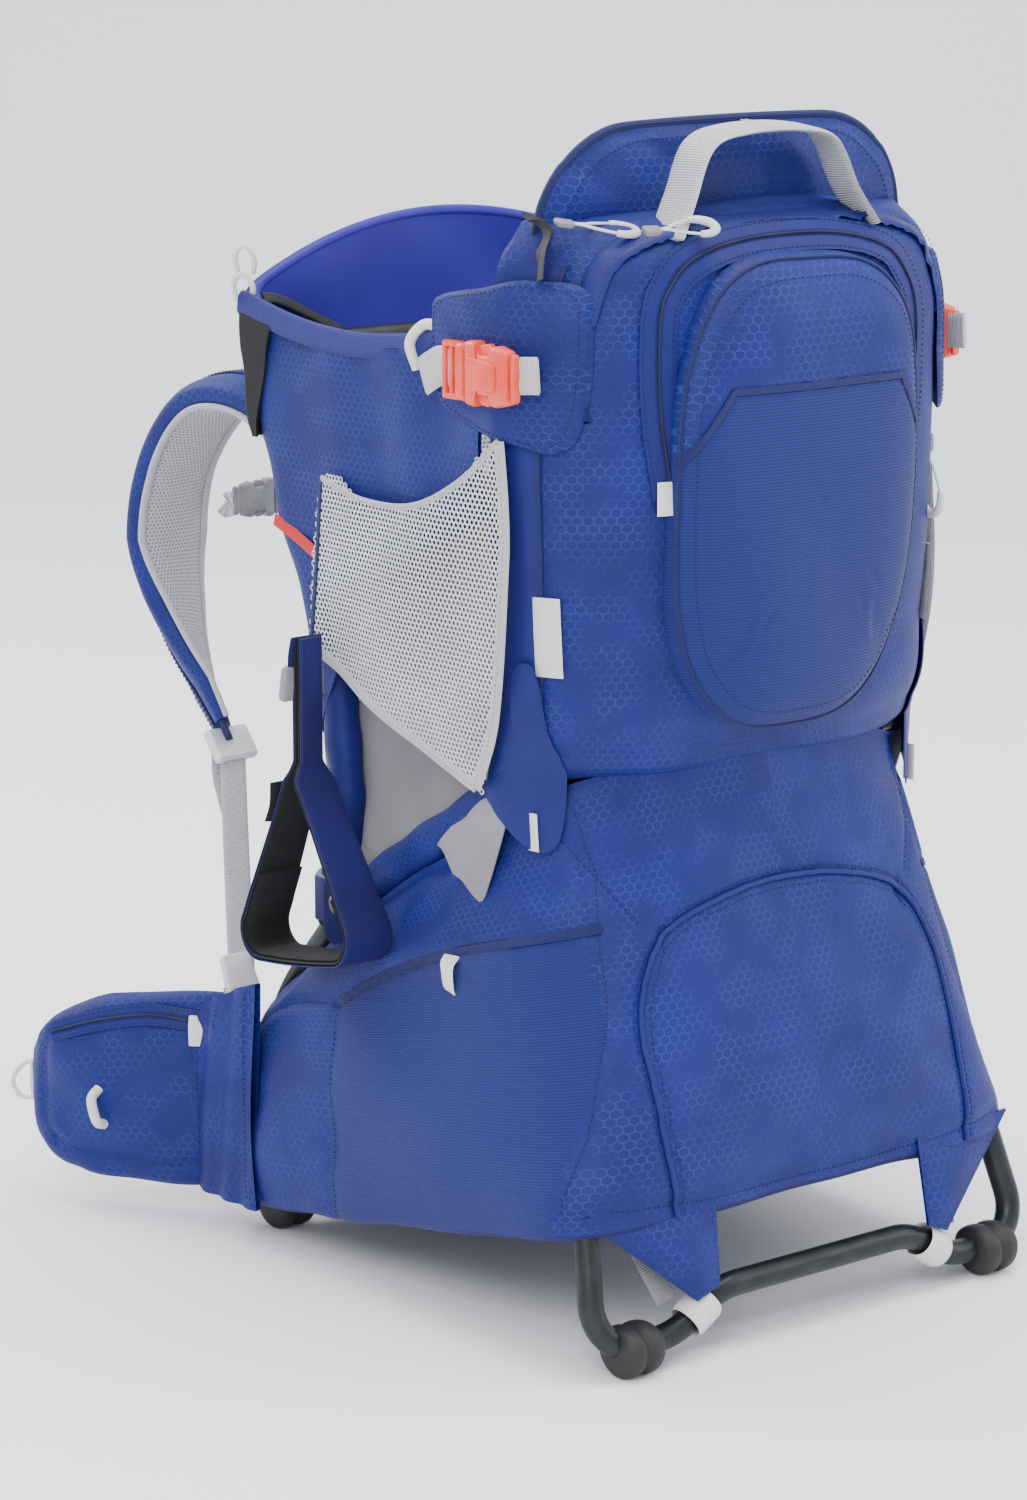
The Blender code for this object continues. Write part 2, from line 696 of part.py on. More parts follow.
def back_panel():
    low = BELT_LOW + BELT_HEIGHT + 0.006
    heights = [low, (low + LUMBAR_HEIGHT) / 2, LUMBAR_HEIGHT, LUMBAR_HEIGHT + 0.085, YOKE_LOW, TOP_BAR_Z - 0.045]
    slab("back_panel", FRAME_X - TUBE_R - 0.010, heights, -PANEL_THICK / 2, PANEL_THICK, GREY)


def yoke():
    """Plate behind the shoulder straps, which slides up the back panel to fit the wearer."""
    heights = [YOKE_LOW + 0.001, YOKE_HIGH]
    start = (0, YOKE_Y, YOKE_LOW)
    slab("harness_yoke", 0.110, heights, PANEL_THICK / 2 + 0.001, 0.006, DARK_BLUE, origin=start)


def strap_route(s):
    """Centre line of a shoulder strap: up from the yoke, over, and down in front."""
    z = YOKE_LOW
    y = YOKE_Y + 0.019
    reach = STRAP_REACH
    return [
        (s * 0.078, y + 0.008, z + 0.012),
        (s * 0.084, y + reach * 0.22, z + 0.078),
        (s * 0.094, y + reach * 0.47, z + 0.120),
        (s * 0.104, y + reach * 0.75, z + 0.120),
        (s * 0.112, y + reach * 0.945, z + 0.075),
        (s * 0.116, y + reach * 0.995, z + 0.015),
        (s * 0.116, y + reach * 0.90, z - 0.045),
        (s * 0.114, y + reach * 0.70, z - 0.102),
    ]


def shoulder_strap(side, s):
    start = (0, YOKE_Y, YOKE_LOW)
    points = smooth_route(strap_route(s), 0.020)
    ribbon("shoulder_strap_" + side, points, STRAP_WIDTH, STRAP_THICK, (1, 0, 0), BLUE, origin=start)
    end = points[-1]
    run = (points[-1] - points[-2]).normalized()
    lock = end + run * (0.013 + CLEAR)
    turn = run.to_track_quat("Y", "Z").to_matrix()
    block("strap_lock_" + side, lock, (0.034, 0.024, 0.008), PALE, 0.002, origin=start, turn=turn)
    web_top = lock + run * (0.012 + 0.002)
    web_end = Vector((s * (SIDE_X - 0.004), FEET_Y + 0.030, BELT_LOW + BELT_HEIGHT + 0.016))
    middle = (web_top + web_end) / 2 + Vector((0, 0, -0.006))
    route = smooth_route([web_top, middle, web_end], 0.02)
    ribbon("lower_web_" + side, route, 0.020, 0.002, (1, 0, 0), WEB)


def sternum():
    """Chest strap between the shoulder straps, with its side-release buckle."""
    start = (0, YOKE_Y, YOKE_LOW)
    y = YOKE_Y + 0.019 + STRAP_REACH * 0.93
    z = YOKE_LOW + 0.040
    inner = 0.112 - STRAP_WIDTH / 2 - 0.003
    centre_x = -0.036
    half = BUCKLE_LENGTH * 0.8
    buckle("sternum_buckle", (centre_x, y, z), (1, 0, 0), (0, 1, 0), PALE, scale=0.8)
    left = [(-inner, y, z), (centre_x - half * 0.5 - 0.018, y, z)]
    right = [(centre_x + half + 0.004, y, z), ((centre_x + half + inner) / 2, y, z), (inner, y, z)]
    ribbon("sternum_web_left", left, 0.018, 0.002, (0, 0, 1), WEB, origin=start)
    ribbon("sternum_web_right", right, 0.018, 0.002, (0, 0, 1), WEB, origin=start)


def buckle(name, centre, along, face, finish, scale=1.0):
    """Side-release buckle. The socket lies on the minus side of the centre, the plug on the plus side."""
    length, width, thick = (v * scale for v in (BUCKLE_LENGTH, BUCKLE_WIDTH, BUCKLE_THICK))
    along = Vector(along).normalized()
    up = Vector(face).normalized()
    across = along.cross(up)
    turn = Matrix((across, along, up)).transposed()
    centre = Vector(centre)
    wall = 0.0022 * scale
    socket = block(name + "_socket", centre - along * (length * 0.42), (width, length * 0.84, thick), finish,
                   0.0015, turn=turn)
    hollow = block(name + "_cavity", centre - along * (length * 0.30), (width - 2 * wall, length * 0.72,
                   thick - 2 * wall), finish, turn=turn)
    window = block(name + "_window", centre - along * (length * 0.42), (width * 1.2, length * 0.26,
                   thick - 2 * wall), finish, turn=turn)
    for shape in (hollow, window):
        pieces.objects.unlink(shape)
        cutters.objects.link(shape)
        shape.hide_render = True
        shape.display_type = "WIRE"
        cut(socket, shape)
    plug_thick = thick - 2 * wall - 2 * CLEAR
    half = width / 2 - wall - CLEAR
    bar_y, tip_y = 0.0006, -length * 0.50
    outline = [
        (-half, bar_y), (-half, tip_y + 0.008), (-half + 0.003, tip_y), (-half + 0.006, tip_y),
        (-half + 0.006, bar_y - 0.006), (-0.002, bar_y - 0.006), (-0.002, tip_y + 0.006),
        (0.002, tip_y + 0.006), (0.002, bar_y - 0.006), (half - 0.006, bar_y - 0.006),
        (half - 0.006, tip_y), (half - 0.003, tip_y), (half, tip_y + 0.008), (half, bar_y),
        (half, length * 0.5), (-half, length * 0.5),
    ]
    rings = [[centre + across * a + along * b + up * h for a, b in outline]
             for h in (-plug_thick / 2, plug_thick / 2)]
    loft(name + "_plug", rings, finish, centre)


def belt_point(s, part):
    """Middle of a hipbelt wing, from its root to its tip: it leaves the frame and curls forward."""
    root = Vector((s * (SIDE_X - 0.004), FEET_Y + 0.034, 0))
    heading = math.radians(38)
    out = BELT_REACH * (math.sin(heading) * part - 0.10 * part * part)
    ahead = BELT_REACH * (math.cos(heading) * part + 0.08 * part * part)
    return root + Vector((s * out, ahead, 0))


def hipbelt(side, s):
    """Padded wing with its zip pocket, its webbing and its half of the front buckle."""
    pivot = (s * SIDE_X, FEET_Y + 0.026, BELT_LOW + BELT_HEIGHT / 2)
    rings = []
    shapes = ((0.0, 0.55, 1.0, 0.0), (0.15, 0.85, 1.0, 0.0), (0.45, 1.0, 0.98, 0.004),
              (0.75, 0.95, 0.86, 0.010), (0.95, 0.6, 0.70, 0.012), (1.0, 0.3, 0.5, 0.010))
    for part, fat, tall, drop in shapes:
        middle = belt_point(s, part)
        ahead = (belt_point(s, part + 0.02) - belt_point(s, part - 0.02)).normalized()
        aside = ahead.cross(Vector((0, 0, 1)))
        half_t = BELT_THICK / 2 * fat
        half_h = BELT_HEIGHT / 2 * tall
        height = BELT_LOW + BELT_HEIGHT / 2 - drop
        ring = []
        for k in range(12):
            angle = 2 * math.pi * k / 12
            c, q = math.cos(angle), math.sin(angle)
            a = half_t * math.copysign(abs(c) ** 0.7, c)
            b = half_h * math.copysign(abs(q) ** 0.7, q)
            ring.append(middle + aside * a + Vector((0, 0, height + b)))
        rings.append(ring)
    loft("hipbelt_wing_" + side, rings, BLUE, pivot)
    tip = belt_point(s, 1.0) + Vector((0, 0, BELT_LOW + BELT_HEIGHT / 2 - 0.010))
    route = [tip + Vector((0, 0.0035, 0)), tip + Vector((-s * 0.016, 0.014, 0)), tip + Vector((-s * 0.040, 0.010, 0)),
             tip + Vector((-s * 0.058, 0.004, 0))]
    ribbon("hipbelt_web_" + side, smooth_route(route, 0.012), 0.024, 0.002, (0, 0, 1), WEB, origin=pivot)
    end = route[-1]
    run = Vector((-s, 0, 0))
    if s < 0:
        half_buckle("hipbelt_socket", end + run * 0.003, run, PALE, pivot, "socket")
    else:
        half_buckle("hipbelt_plug", end + run * 0.003, run, PALE, pivot, "plug")


def half_buckle(name, start, run, finish, origin, kind):
    """One half of the front buckle, hanging open on its webbing."""
    length, width, thick = BUCKLE_LENGTH, BUCKLE_WIDTH * 1.1, BUCKLE_THICK
    up = Vector((0, 0, 1)).cross(run)
    across = Vector((0, 0, 1))
    turn = Matrix((across, run, up)).transposed()
    wall = 0.0025
    if kind == "socket":
        made = block(name, start + run * length / 2, (width, length, thick), finish, 0.0015, origin=origin,
                     turn=turn)
        hollow = block(name + "_cavity", start + run * (length * 0.7), (width - 2 * wall, length * 0.8,
                       thick - 2 * wall), finish, turn=turn)
        pieces.objects.unlink(hollow)
        cutters.objects.link(hollow)
        hollow.hide_render = True
        hollow.display_type = "WIRE"
        cut(made, hollow)
        return
    half = width / 2 - wall - CLEAR
    tip = length * 0.95
    outline = [
        (-half, 0), (half, 0), (half, tip - 0.008), (half - 0.003, tip), (half - 0.006, tip),
        (half - 0.006, 0.016), (0.002, 0.016), (0.002, tip - 0.006), (-0.002, tip - 0.006),
        (-0.002, 0.016), (-half + 0.006, 0.016), (-half + 0.006, tip), (-half + 0.003, tip),
        (-half, tip - 0.008),
    ]
    depth = thick - 2 * wall - 2 * CLEAR
    rings = [[start + across * a + run * b + up * h for a, b in outline] for h in (-depth / 2, depth / 2)]
    loft(name, rings, finish, origin)


def stirrup(side, s):
    """Foot loop on its doubled webbing, hanging beside the cockpit."""
    y, z = LUMBAR_FRONT - 0.014, LUMBAR_HEIGHT + 0.110
    x = s * (OUTSIDE_X + 0.007 + STIRRUP_WIDTH / 2)
    gap = 0.003
    corners = [
        (x, y + gap, z), (x, y + gap, z - 0.085), (x, y + 0.060, z - 0.212), (x, y - 0.072, z - 0.192),
        (x, y - gap, z - 0.085), (x, y - gap, z),
    ]
    points = rounded_path(corners, [0, 0.02, 0.016, 0.016, 0.02, 0], math.radians(22))
    ribbon("stirrup_" + side, points, STIRRUP_WIDTH, 0.0028, (1, 0, 0), DARK_BLUE, origin=(x, y, z))


def closures():
    """Red buckles at the cockpit's sides, and the zip pulls."""
    for side, s in SIDES:
        x = s * (OUTSIDE_X + BUCKLE_THICK * 1.15 / 2)
        buckle("cockpit_buckle_" + side, (x, HOOP_Y + 0.018, RIM_Z - 0.002), (0, 1, 0), (s, 0, 0), RED, scale=1.15)
    level, side, rear = Vector((0, 0, 1)), Vector((1, 0, 0)), Vector((0, 1, 0))
    pull("zip_pull_top_left", (-SIDE_X + 0.027, HOOP_Y - 0.026, RIM_Z + 0.083), (0.75, -0.25, -0.12), level)
    pull("zip_pull_top_middle", (-SIDE_X + 0.061, HOOP_Y - 0.064, RIM_Z + 0.080), (0.95, -0.05, 0), level)
    pull("zip_pull_side_right", (SIDE_X + 0.003, HOOP_Y - 0.036, RIM_Z - 0.070), (0, -0.10, -1), side)
    pull("zip_pull_lower", (STAND_FOOT_X - 0.041, -FEET_Y + 0.018, 0.118), (0, 0, -1), rear)


def pull(name, top, run, face):
    """Cord loop of a zip pull, hanging or lying from its slider, flat against a face."""
    top = Vector(top)
    run = Vector(run).normalized()
    aside = run.cross(face).normalized()
    length, half = 0.042, 0.007
    points = []
    for k in range(7):
        angle = math.pi * k / 6
        points.append(top + run * (length - half + half * math.sin(angle)) + aside * half * math.cos(angle))
    points += [top + run * 0.004 - aside * 0.0035, top + run * 0.004 + aside * 0.0035]
    tube(name, points, 0.0017, PALE, closed=True, origin=top, sides=1)


def centre_the_box():
    """Moves the empty so that the whole box stands on the origin by the middle of its bottom."""
    bpy.context.view_layer.update()
    seen = bpy.context.evaluated_depsgraph_get()
    depths = []
    for piece in pieces.objects:
        if piece.type == "EMPTY":
            continue
        shape = piece.evaluated_get(seen)
        data = shape.to_mesh()
        depths += [(shape.matrix_world @ v.co).y for v in data.vertices]
        shape.to_mesh_clear()
    ground_centre.location.y = -(min(depths) + max(depths)) / 2
    bpy.context.view_layer.update()


frame()
packs()
cockpit()
seat()
mesh_pockets()
harness()
closures()
centre_the_box()
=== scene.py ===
import json
import math

import bmesh
import bpy
import numpy as np
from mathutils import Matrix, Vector
from mathutils.bvhtree import BVHTree


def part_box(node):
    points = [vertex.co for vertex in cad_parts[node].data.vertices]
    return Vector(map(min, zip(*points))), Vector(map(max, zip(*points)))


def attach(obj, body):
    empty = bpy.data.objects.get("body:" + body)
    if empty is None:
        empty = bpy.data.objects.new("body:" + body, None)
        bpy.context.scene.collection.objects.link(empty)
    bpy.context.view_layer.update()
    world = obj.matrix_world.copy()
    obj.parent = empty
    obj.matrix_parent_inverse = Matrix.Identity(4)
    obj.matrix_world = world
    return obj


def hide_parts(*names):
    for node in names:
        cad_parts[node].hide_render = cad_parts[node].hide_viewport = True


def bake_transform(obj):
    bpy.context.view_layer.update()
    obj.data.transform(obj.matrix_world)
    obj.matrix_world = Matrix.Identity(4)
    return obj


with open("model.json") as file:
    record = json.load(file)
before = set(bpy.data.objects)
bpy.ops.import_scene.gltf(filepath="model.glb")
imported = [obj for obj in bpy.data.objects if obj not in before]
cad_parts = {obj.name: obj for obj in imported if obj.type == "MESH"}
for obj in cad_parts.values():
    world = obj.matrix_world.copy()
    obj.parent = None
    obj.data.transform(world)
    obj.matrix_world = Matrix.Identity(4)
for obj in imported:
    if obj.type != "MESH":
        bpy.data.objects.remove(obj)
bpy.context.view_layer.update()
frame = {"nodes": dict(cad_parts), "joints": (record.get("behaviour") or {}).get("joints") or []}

scene = bpy.context.scene


# places read from the frame
def low(node):
    return np.array(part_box(node)[0])


def high(node):
    return np.array(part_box(node)[1])


# depths below are counted from the middle between the four feet, as on a drawing; midY moves them home
midY = (low("kickstand_foot_left")[1] + high("frame_foot_left")[1]) / 2
home = np.array([0, midY, 0])
bothSides = (("left", -1), ("right", 1))
joints = {joint["name"]: joint for joint in frame["joints"]}
sideX = high("upper_pack")[0]                       # half width of the pack
packRear = low("upper_pack")[1] - midY
topZ = high("headrest")[2]
rimZ = topZ - 0.137                                 # lowest point of the cockpit rim
hoopY = joints["kickstand_fold"]["pos_m"][1] - midY
waistZ = joints["kickstand_fold"]["pos_m"][2]
footX = (low("frame_foot_right")[0] + high("frame_foot_right")[0]) / 2
footY = (low("frame_foot_left")[1] + high("frame_foot_left")[1]) / 2 - midY
footZ = high("frame_foot_left")[2] / 2
tubeR = 0.008
frameX = high("main_frame_tube")[0] - tubeR - 0.016   # the feet flare 16 mm wider than the side tubes
lumbarY, lumbarZ = 0.100, 0.305
topBarZ = rimZ - 0.012
frameSide = np.array([
    (footY + 0.002, 0.150), (lumbarY + 0.010, lumbarZ - 0.080), (lumbarY, lumbarZ),
    (lumbarY + 0.014, lumbarZ + 0.110), (lumbarY + 0.064, topBarZ - 0.045), (lumbarY + 0.072, topBarZ)])


def frameDepth(z):
    return np.interp(z, frameSide[:, 1], frameSide[:, 0])


# shapes worked out with numpy
def unit(v):
    return v / np.maximum(np.linalg.norm(v, axis=-1, keepdims=True), 1e-12)


# length run along a line of points, from its start
def runOf(line):
    return np.concatenate([[0], np.cumsum(np.linalg.norm(np.diff(line, axis=0), axis=1))])


# each column of values read at places along a run
def readAt(at, run, values):
    return np.stack([np.interp(at, run, column) for column in np.asarray(values).T], 1)


# a ring of points with its first point repeated at the end
def shut(ring):
    return np.vstack([ring, ring[:1]])


# the two parameters of a surface: v down the rows, u across the columns
def spread(rows, cols, first=0):
    return np.linspace(0, 1, rows)[:, None], np.linspace(first, 1, cols)[None, :]


# corner numbers of the quads of a grid of point numbers
def gridQuads(index):
    return np.stack([index[:-1, :-1], index[:-1, 1:], index[1:, 1:], index[1:, :-1]], -1).reshape(-1, 4)


# a dense line read again at an even spacing, by its running length
def evenly(fine, spacing, closed=False):
    run = runOf(fine)
    at = np.linspace(0, run[-1], max(3, round(run[-1] / spacing)) + 1)
    if closed:
        at = at[:-1]
    return readAt(at, run, fine)


# Catmull-Rom curve through a few points: each stretch is a cubic whose slope at a point is the chord
# between its neighbours
def smoothPath(points, spacing, closed=False):
    p = np.asarray(points, float)
    ends = np.vstack([p[-1:], p, p[:2]] if closed else [2 * p[:1] - p[1:2], p, 2 * p[-1:] - p[-2:-1]])
    t = np.linspace(0, 1, 24, endpoint=False)[None, :, None]
    a, b, c, d = (ends[i:len(ends) - 3 + i, None, :] for i in range(4))
    fine = 0.5 * (2 * b + (c - a) * t + (2 * a - 5 * b + 4 * c - d) * t ** 2 + (3 * b - 3 * c + d - a)
                  * t ** 3)
    fine = np.vstack([fine.reshape(-1, p.shape[1]), p[:1] if closed else p[-1:]])
    return evenly(fine, spacing, closed)


# a polyline with each corner turned into an arc of its radius
def roundedPath(corners, radii, spacing, closed=False):
    corners = np.asarray(corners, float)
    count, points = len(corners), []
    for i, corner in enumerate(corners):
        if not closed and i in (0, count - 1) or radii[i] <= 0:
            points.append(corner[None])
            continue
        back, ahead = corners[i - 1] - corner, corners[(i + 1) % count] - corner
        longest = 0.48 * min(np.linalg.norm(back), np.linalg.norm(ahead))
        back, ahead = unit(back), unit(ahead)
        turn = math.pi - math.acos(np.clip(back @ ahead, -1, 1))
        if turn < 0.017:
            points.append(corner[None])
            continue
        reach = min(radii[i] * math.tan(turn / 2), longest)
        radius = reach / math.tan(turn / 2)
        middle = corner + unit(back + ahead) * radius / math.cos(turn / 2)
        first = corner + back * reach - middle
        axis = unit(np.cross(first, corner + ahead * reach - middle))
        angle = np.linspace(0, turn, 13)[:, None]
        points.append(middle + first * np.cos(angle) + np.cross(axis, first) * np.sin(angle))
    fine = np.vstack(points + ([points[0][:1]] if closed else []))
    return evenly(fine, spacing, closed)


# values eased through knots by cubics whose slopes are the finite differences of the knots
def easeThrough(knots, values, at):
    knots, values, at = (np.asarray(v, float) for v in (knots, values, at))
    slope = np.gradient(values, knots, axis=0)
    k = np.clip(np.searchsorted(knots, at, side="right") - 1, 0, len(knots) - 2)
    width = (knots[k + 1] - knots[k])
    t = (at - knots[k]) / width
    if values.ndim > 1:
        t, width = t[..., None], width[..., None]
    return (values[k] * (2 * t ** 3 - 3 * t ** 2 + 1) + values[k + 1] * (3 * t ** 2 - 2 * t ** 3)
            + width * slope[k] * (t ** 3 - 2 * t ** 2 + t) + width * slope[k + 1] * (t ** 3 - t ** 2))


def tangents(path, closed=False):
    return unit(np.roll(path, -1, 0) - np.roll(path, 1, 0) if closed else np.gradient(path, axis=0))


# a side direction carried along a path without twisting; on a ring the last twist is shared out
def carriedSides(path, closed=False):
    t = tangents(path, closed)
    side = unit(np.cross(t[0], (0, 0, 1) if abs(t[0][2]) < 0.9 else (1, 0, 0)))
    sides = []
    for along in t:
        side = unit(side - along * (side @ along))
        sides.append(side)
    sides = np.array(sides)
    if closed:
        last = unit(sides[-1] - t[0] * (sides[-1] @ t[0]))
        twist = math.atan2(np.cross(last, sides[0]) @ t[0], last @ sides[0])
        angle = (twist * np.arange(len(path)) / len(path))[:, None]
        sides = sides * np.cos(angle) + np.cross(t, sides) * np.sin(angle)
    return sides


# a flat profile (across, up) carried along a path; the grid's last column and, on a ring, its last
# row repeat the first, and open ends shrink to a point so that the shape is closed
def sweep(path, profile, across=None, closed=False, capped=True):
    t = tangents(path, closed)
    side = carriedSides(path, closed) if across is None else np.broadcast_to(across, path.shape)
    side = unit(side - t * np.sum(side * t, 1, keepdims=True))
    up = np.cross(side, t)
    profile = np.broadcast_to(profile, (len(path),) + np.shape(profile)[-2:])
    profile = np.concatenate([profile, profile[:, :1]], 1)
    grid = path[:, None] + side[:, None] * profile[..., :1] + up[:, None] * profile[..., 1:2]
    run = runOf(path)
    around = runOf(profile[0])
    uv = np.stack(np.broadcast_arrays(around[None, :], run[:, None]), -1)
    if closed:
        step = np.linalg.norm(path[0] - path[-1])
        grid = np.concatenate([grid, grid[:1]])
        uv = np.concatenate([uv, uv[-1:] + (0, step)])
    elif capped:
        grid = np.concatenate([grid[:1] * 0 + path[0], grid, grid[-1:] * 0 + path[-1]])
        uv = np.concatenate([uv[:1], uv, uv[-1:]])
    return grid, uv


def circle(radius, sides=16):
    angle = np.linspace(0, 2 * math.pi, sides, endpoint=False)
    return radius * np.stack([np.cos(angle), np.sin(angle)], 1)


# a rectangle with soft corners: a superellipse |x/a|^n + |y/b|^n = 1 read at even lengths
def softRect(width, thick, power=5.0, count=28):
    angle = np.linspace(0, 2 * math.pi, 721)
    c, s = np.cos(angle), np.sin(angle)
    fine = np.stack([width / 2 * np.sign(c) * abs(c) ** (2 / power),
                     thick / 2 * np.sign(s) * abs(s) ** (2 / power)], 1)
    run = runOf(fine)
    at = np.linspace(0, run[-1], count, endpoint=False)
    return readAt(at, run, fine)


# slow, even waves along a few fixed directions, which stand for the slack of cloth
def slack(points, size, amount, seed=0):
    rng = np.random.default_rng(seed)
    total = np.zeros(points.shape[:-1])
    for _ in range(7):
        way = unit(rng.normal(size=3)) * 2 * math.pi / size * rng.uniform(0.6, 1.7)
        total += np.sin(points @ way + rng.uniform(0, 6.3))
    return amount * total / 2.6


# square distance of each point to the nearest point of a dense line, near points only
def nearLine(points, line, reach):
    flat = points.reshape(-1, 3)
    best = np.full(len(flat), np.inf)
    inside = np.all((flat > line.min(0) - reach) & (flat < line.max(0) + reach), 1)
    index = np.nonzero(inside)[0]
    for part in np.array_split(index, max(1, len(index) // 4000)):
        best[part] = ((flat[part, None] - line[None]) ** 2).sum(-1).min(1)
    return best.reshape(points.shape[:-1])


def gridNormals(grid):
    return unit(np.cross(np.gradient(grid, axis=1), np.gradient(grid, axis=0)))


# how a grid becomes a piece
def addPiece(name, grids, finishes, body, slot=None, stands=(), choose=None, sharp=50, blend=None):
    verts, faces, corners, start = [], [], [], 0
    for grid, uv in grids if isinstance(grids, list) else [grids]:
        rows, cols = grid.shape[:2]
        index = start + np.arange(rows * cols).reshape(rows, cols)
        quads = gridQuads(index)
        verts.append(grid.reshape(-1, 3))
        faces.append(quads)
        corners.append(uv.reshape(-1, 2)[quads.reshape(-1) - start])
        start += rows * cols
    verts, faces, corners = np.vstack(verts) + home, np.vstack(faces), np.vstack(corners)
    return meshPiece(name, verts, faces, corners, finishes, body, stands, choose, sharp, blend)


def meshPiece(name, verts, faces, corners, finishes, body, stands=(), choose=None, sharp=50,
              blend=None, weld=True):
    data = bpy.data.meshes.new(name)
    data.from_pydata(verts.tolist(), [], faces.tolist())
    if corners is not None:
        data.uv_layers.new(name="UVMap").data.foreach_set("uv", corners.astype(np.float32).ravel())
    if weld:
        shape = bmesh.new()
        shape.from_mesh(data)
        bmesh.ops.remove_doubles(shape, verts=shape.verts, dist=1e-6)
        bmesh.ops.dissolve_degenerate(shape, edges=shape.edges, dist=1e-7)
        bmesh.ops.recalc_face_normals(shape, faces=shape.faces)
        shape.to_mesh(data)
        shape.free()
    finishes = finishes if isinstance(finishes, (list, tuple)) else [finishes]
    for finish in finishes:
        data.materials.append(finish)
    if choose is not None:
        centre = np.zeros(len(data.polygons) * 3, np.float32)
        data.polygons.foreach_get("center", centre)
        picked = choose(centre.reshape(-1, 3) - home).astype(np.int32)
        data.polygons.foreach_set("material_index", picked)
    data.shade_smooth()
    if sharp:
        data.set_sharp_from_angle(angle=math.radians(sharp))
    made = bpy.data.objects.new(name, data)
    scene.collection.objects.link(made)
    if blend:
        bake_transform(made)
    else:
        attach(made, body)
    if stands:
        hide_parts(*stands)
    return made


def treeOf(made):
    points = [v.co for v in made.data.vertices]
    return BVHTree.FromPolygons(points, [list(p.vertices) for p in made.data.polygons])


# points of a drawn line dropped onto a surface along one direction, with the surface's normals
def layOn(tree, line, direction, lift=0.0):
    hits, normals = [], []
    way = Vector(direction)
    for point in np.asarray(line, float) + home:
        hit = tree.ray_cast(Vector(point) - way * 0.4, way)
        if hit[0] is None:
            found = tree.find_nearest(Vector(point))
            hit = (found[0], found[1])
        normal = hit[1] if hit[1].dot(way) < 0 else -hit[1]
        hits.append(hit[0])
        normals.append(normal)
    normals = unit(np.array(normals))
    return np.array(hits) - home + normals * lift, normals


# many small copies of one shape, each with its own place and axes
def repeated(shapeVerts, shapeFaces, places, xs, ys, zs):
    verts = (places[:, None] + xs[:, None] * shapeVerts[None, :, :1] + ys[:, None]
             * shapeVerts[None, :, 1:2]
             + zs[:, None] * shapeVerts[None, :, 2:3])
    offset = np.arange(len(places))[:, None, None] * len(shapeVerts)
    faces = np.asarray(shapeFaces)[None] + offset
    return verts.reshape(-1, 3), faces.reshape(-1, np.shape(shapeFaces)[1])


octahedron = (np.array([(1, 0, 0), (-1, 0, 0), (0, 1, 0), (0, -1, 0), (0, 0, 1), (0, 0, -1)], float),
              np.array([(0, 2, 4), (2, 1, 4), (1, 3, 4), (3, 0, 4), (2, 0, 5), (1, 2, 5), (3, 1, 5),
                        (0, 3, 5)]))


# a row of stitches: short spindles of thread, half sunk, at an even pitch along each line
def stitches(name, lines, finish, body, pitch=0.0036, size=(0.0013, 0.00042, 0.00038), blend=None):
    verts, faces, start = [], [], 0
    for line, normals in lines:
        run = runOf(line)
        at = np.arange(pitch / 2, run[-1], pitch)
        centre = readAt(at, run, line)
        up = unit(readAt(at, run, normals))
        along = readAt(at, run, tangents(line))
        along = unit(along - up * np.sum(along * up, 1, keepdims=True))
        base, sides = octahedron
        v, f = repeated(base * size, sides, centre, along, np.cross(up, along), up)
        verts.append(v)
        faces.append(f + start)
        start += len(v)
    return meshPiece(name, np.vstack(verts) + home, np.vstack(faces), None, finish, body, blend=blend,
                     weld=False,
                     sharp=0)


# flat webbing along a path, its width lying across
def webbing(name, path, width, thick, across, finish, body, **rest):
    return addPiece(name, sweep(path, softRect(width, thick, 4.0, 20), across), finish, body, **rest)


def cordTube(name, path, radius, finish, body, closed=False, sides=12, **rest):
    return addPiece(name, sweep(path, circle(radius, sides), closed=closed), finish, body, **rest)


# finishes
def srgb(text):
    values = [int(text[i:i + 2], 16) / 255 for i in (1, 3, 5)]
    return tuple(v / 12.92 if v <= 0.04045 else ((v + 0.055) / 1.055) ** 2.4 for v in values) + (1.0,)


# gives a node's inputs their values; a value that is a socket is linked
def connect(tree, made, inputs):
    for key, value in inputs.items():
        if isinstance(value, bpy.types.NodeSocket):
            tree.links.new(value, made.inputs[key])
        else:
            made.inputs[key].default_value = value


# adds a node with its settings and inputs, and hands back the output that is asked for
def node(tree, kind, inputs, out=0, **settings):
    made = tree.nodes.new("ShaderNode" + kind)
    for key, value in settings.items():
        setattr(made, key, value)
    connect(tree, made, inputs)
    return made.outputs[out]


def newMaterial(name):
    made = bpy.data.materials.new(name)
    made.use_nodes = True
    return made, made.node_tree, made.node_tree.nodes["Principled BSDF"]


# the surface's own coordinates in millimetres: the UV map on cloth, the object's place elsewhere
def millimetres(tree, source="UV"):
    return node(tree, "VectorMath", {0: node(tree, "TexCoord", {}, source), 3: 1000.0}, operation="SCALE")


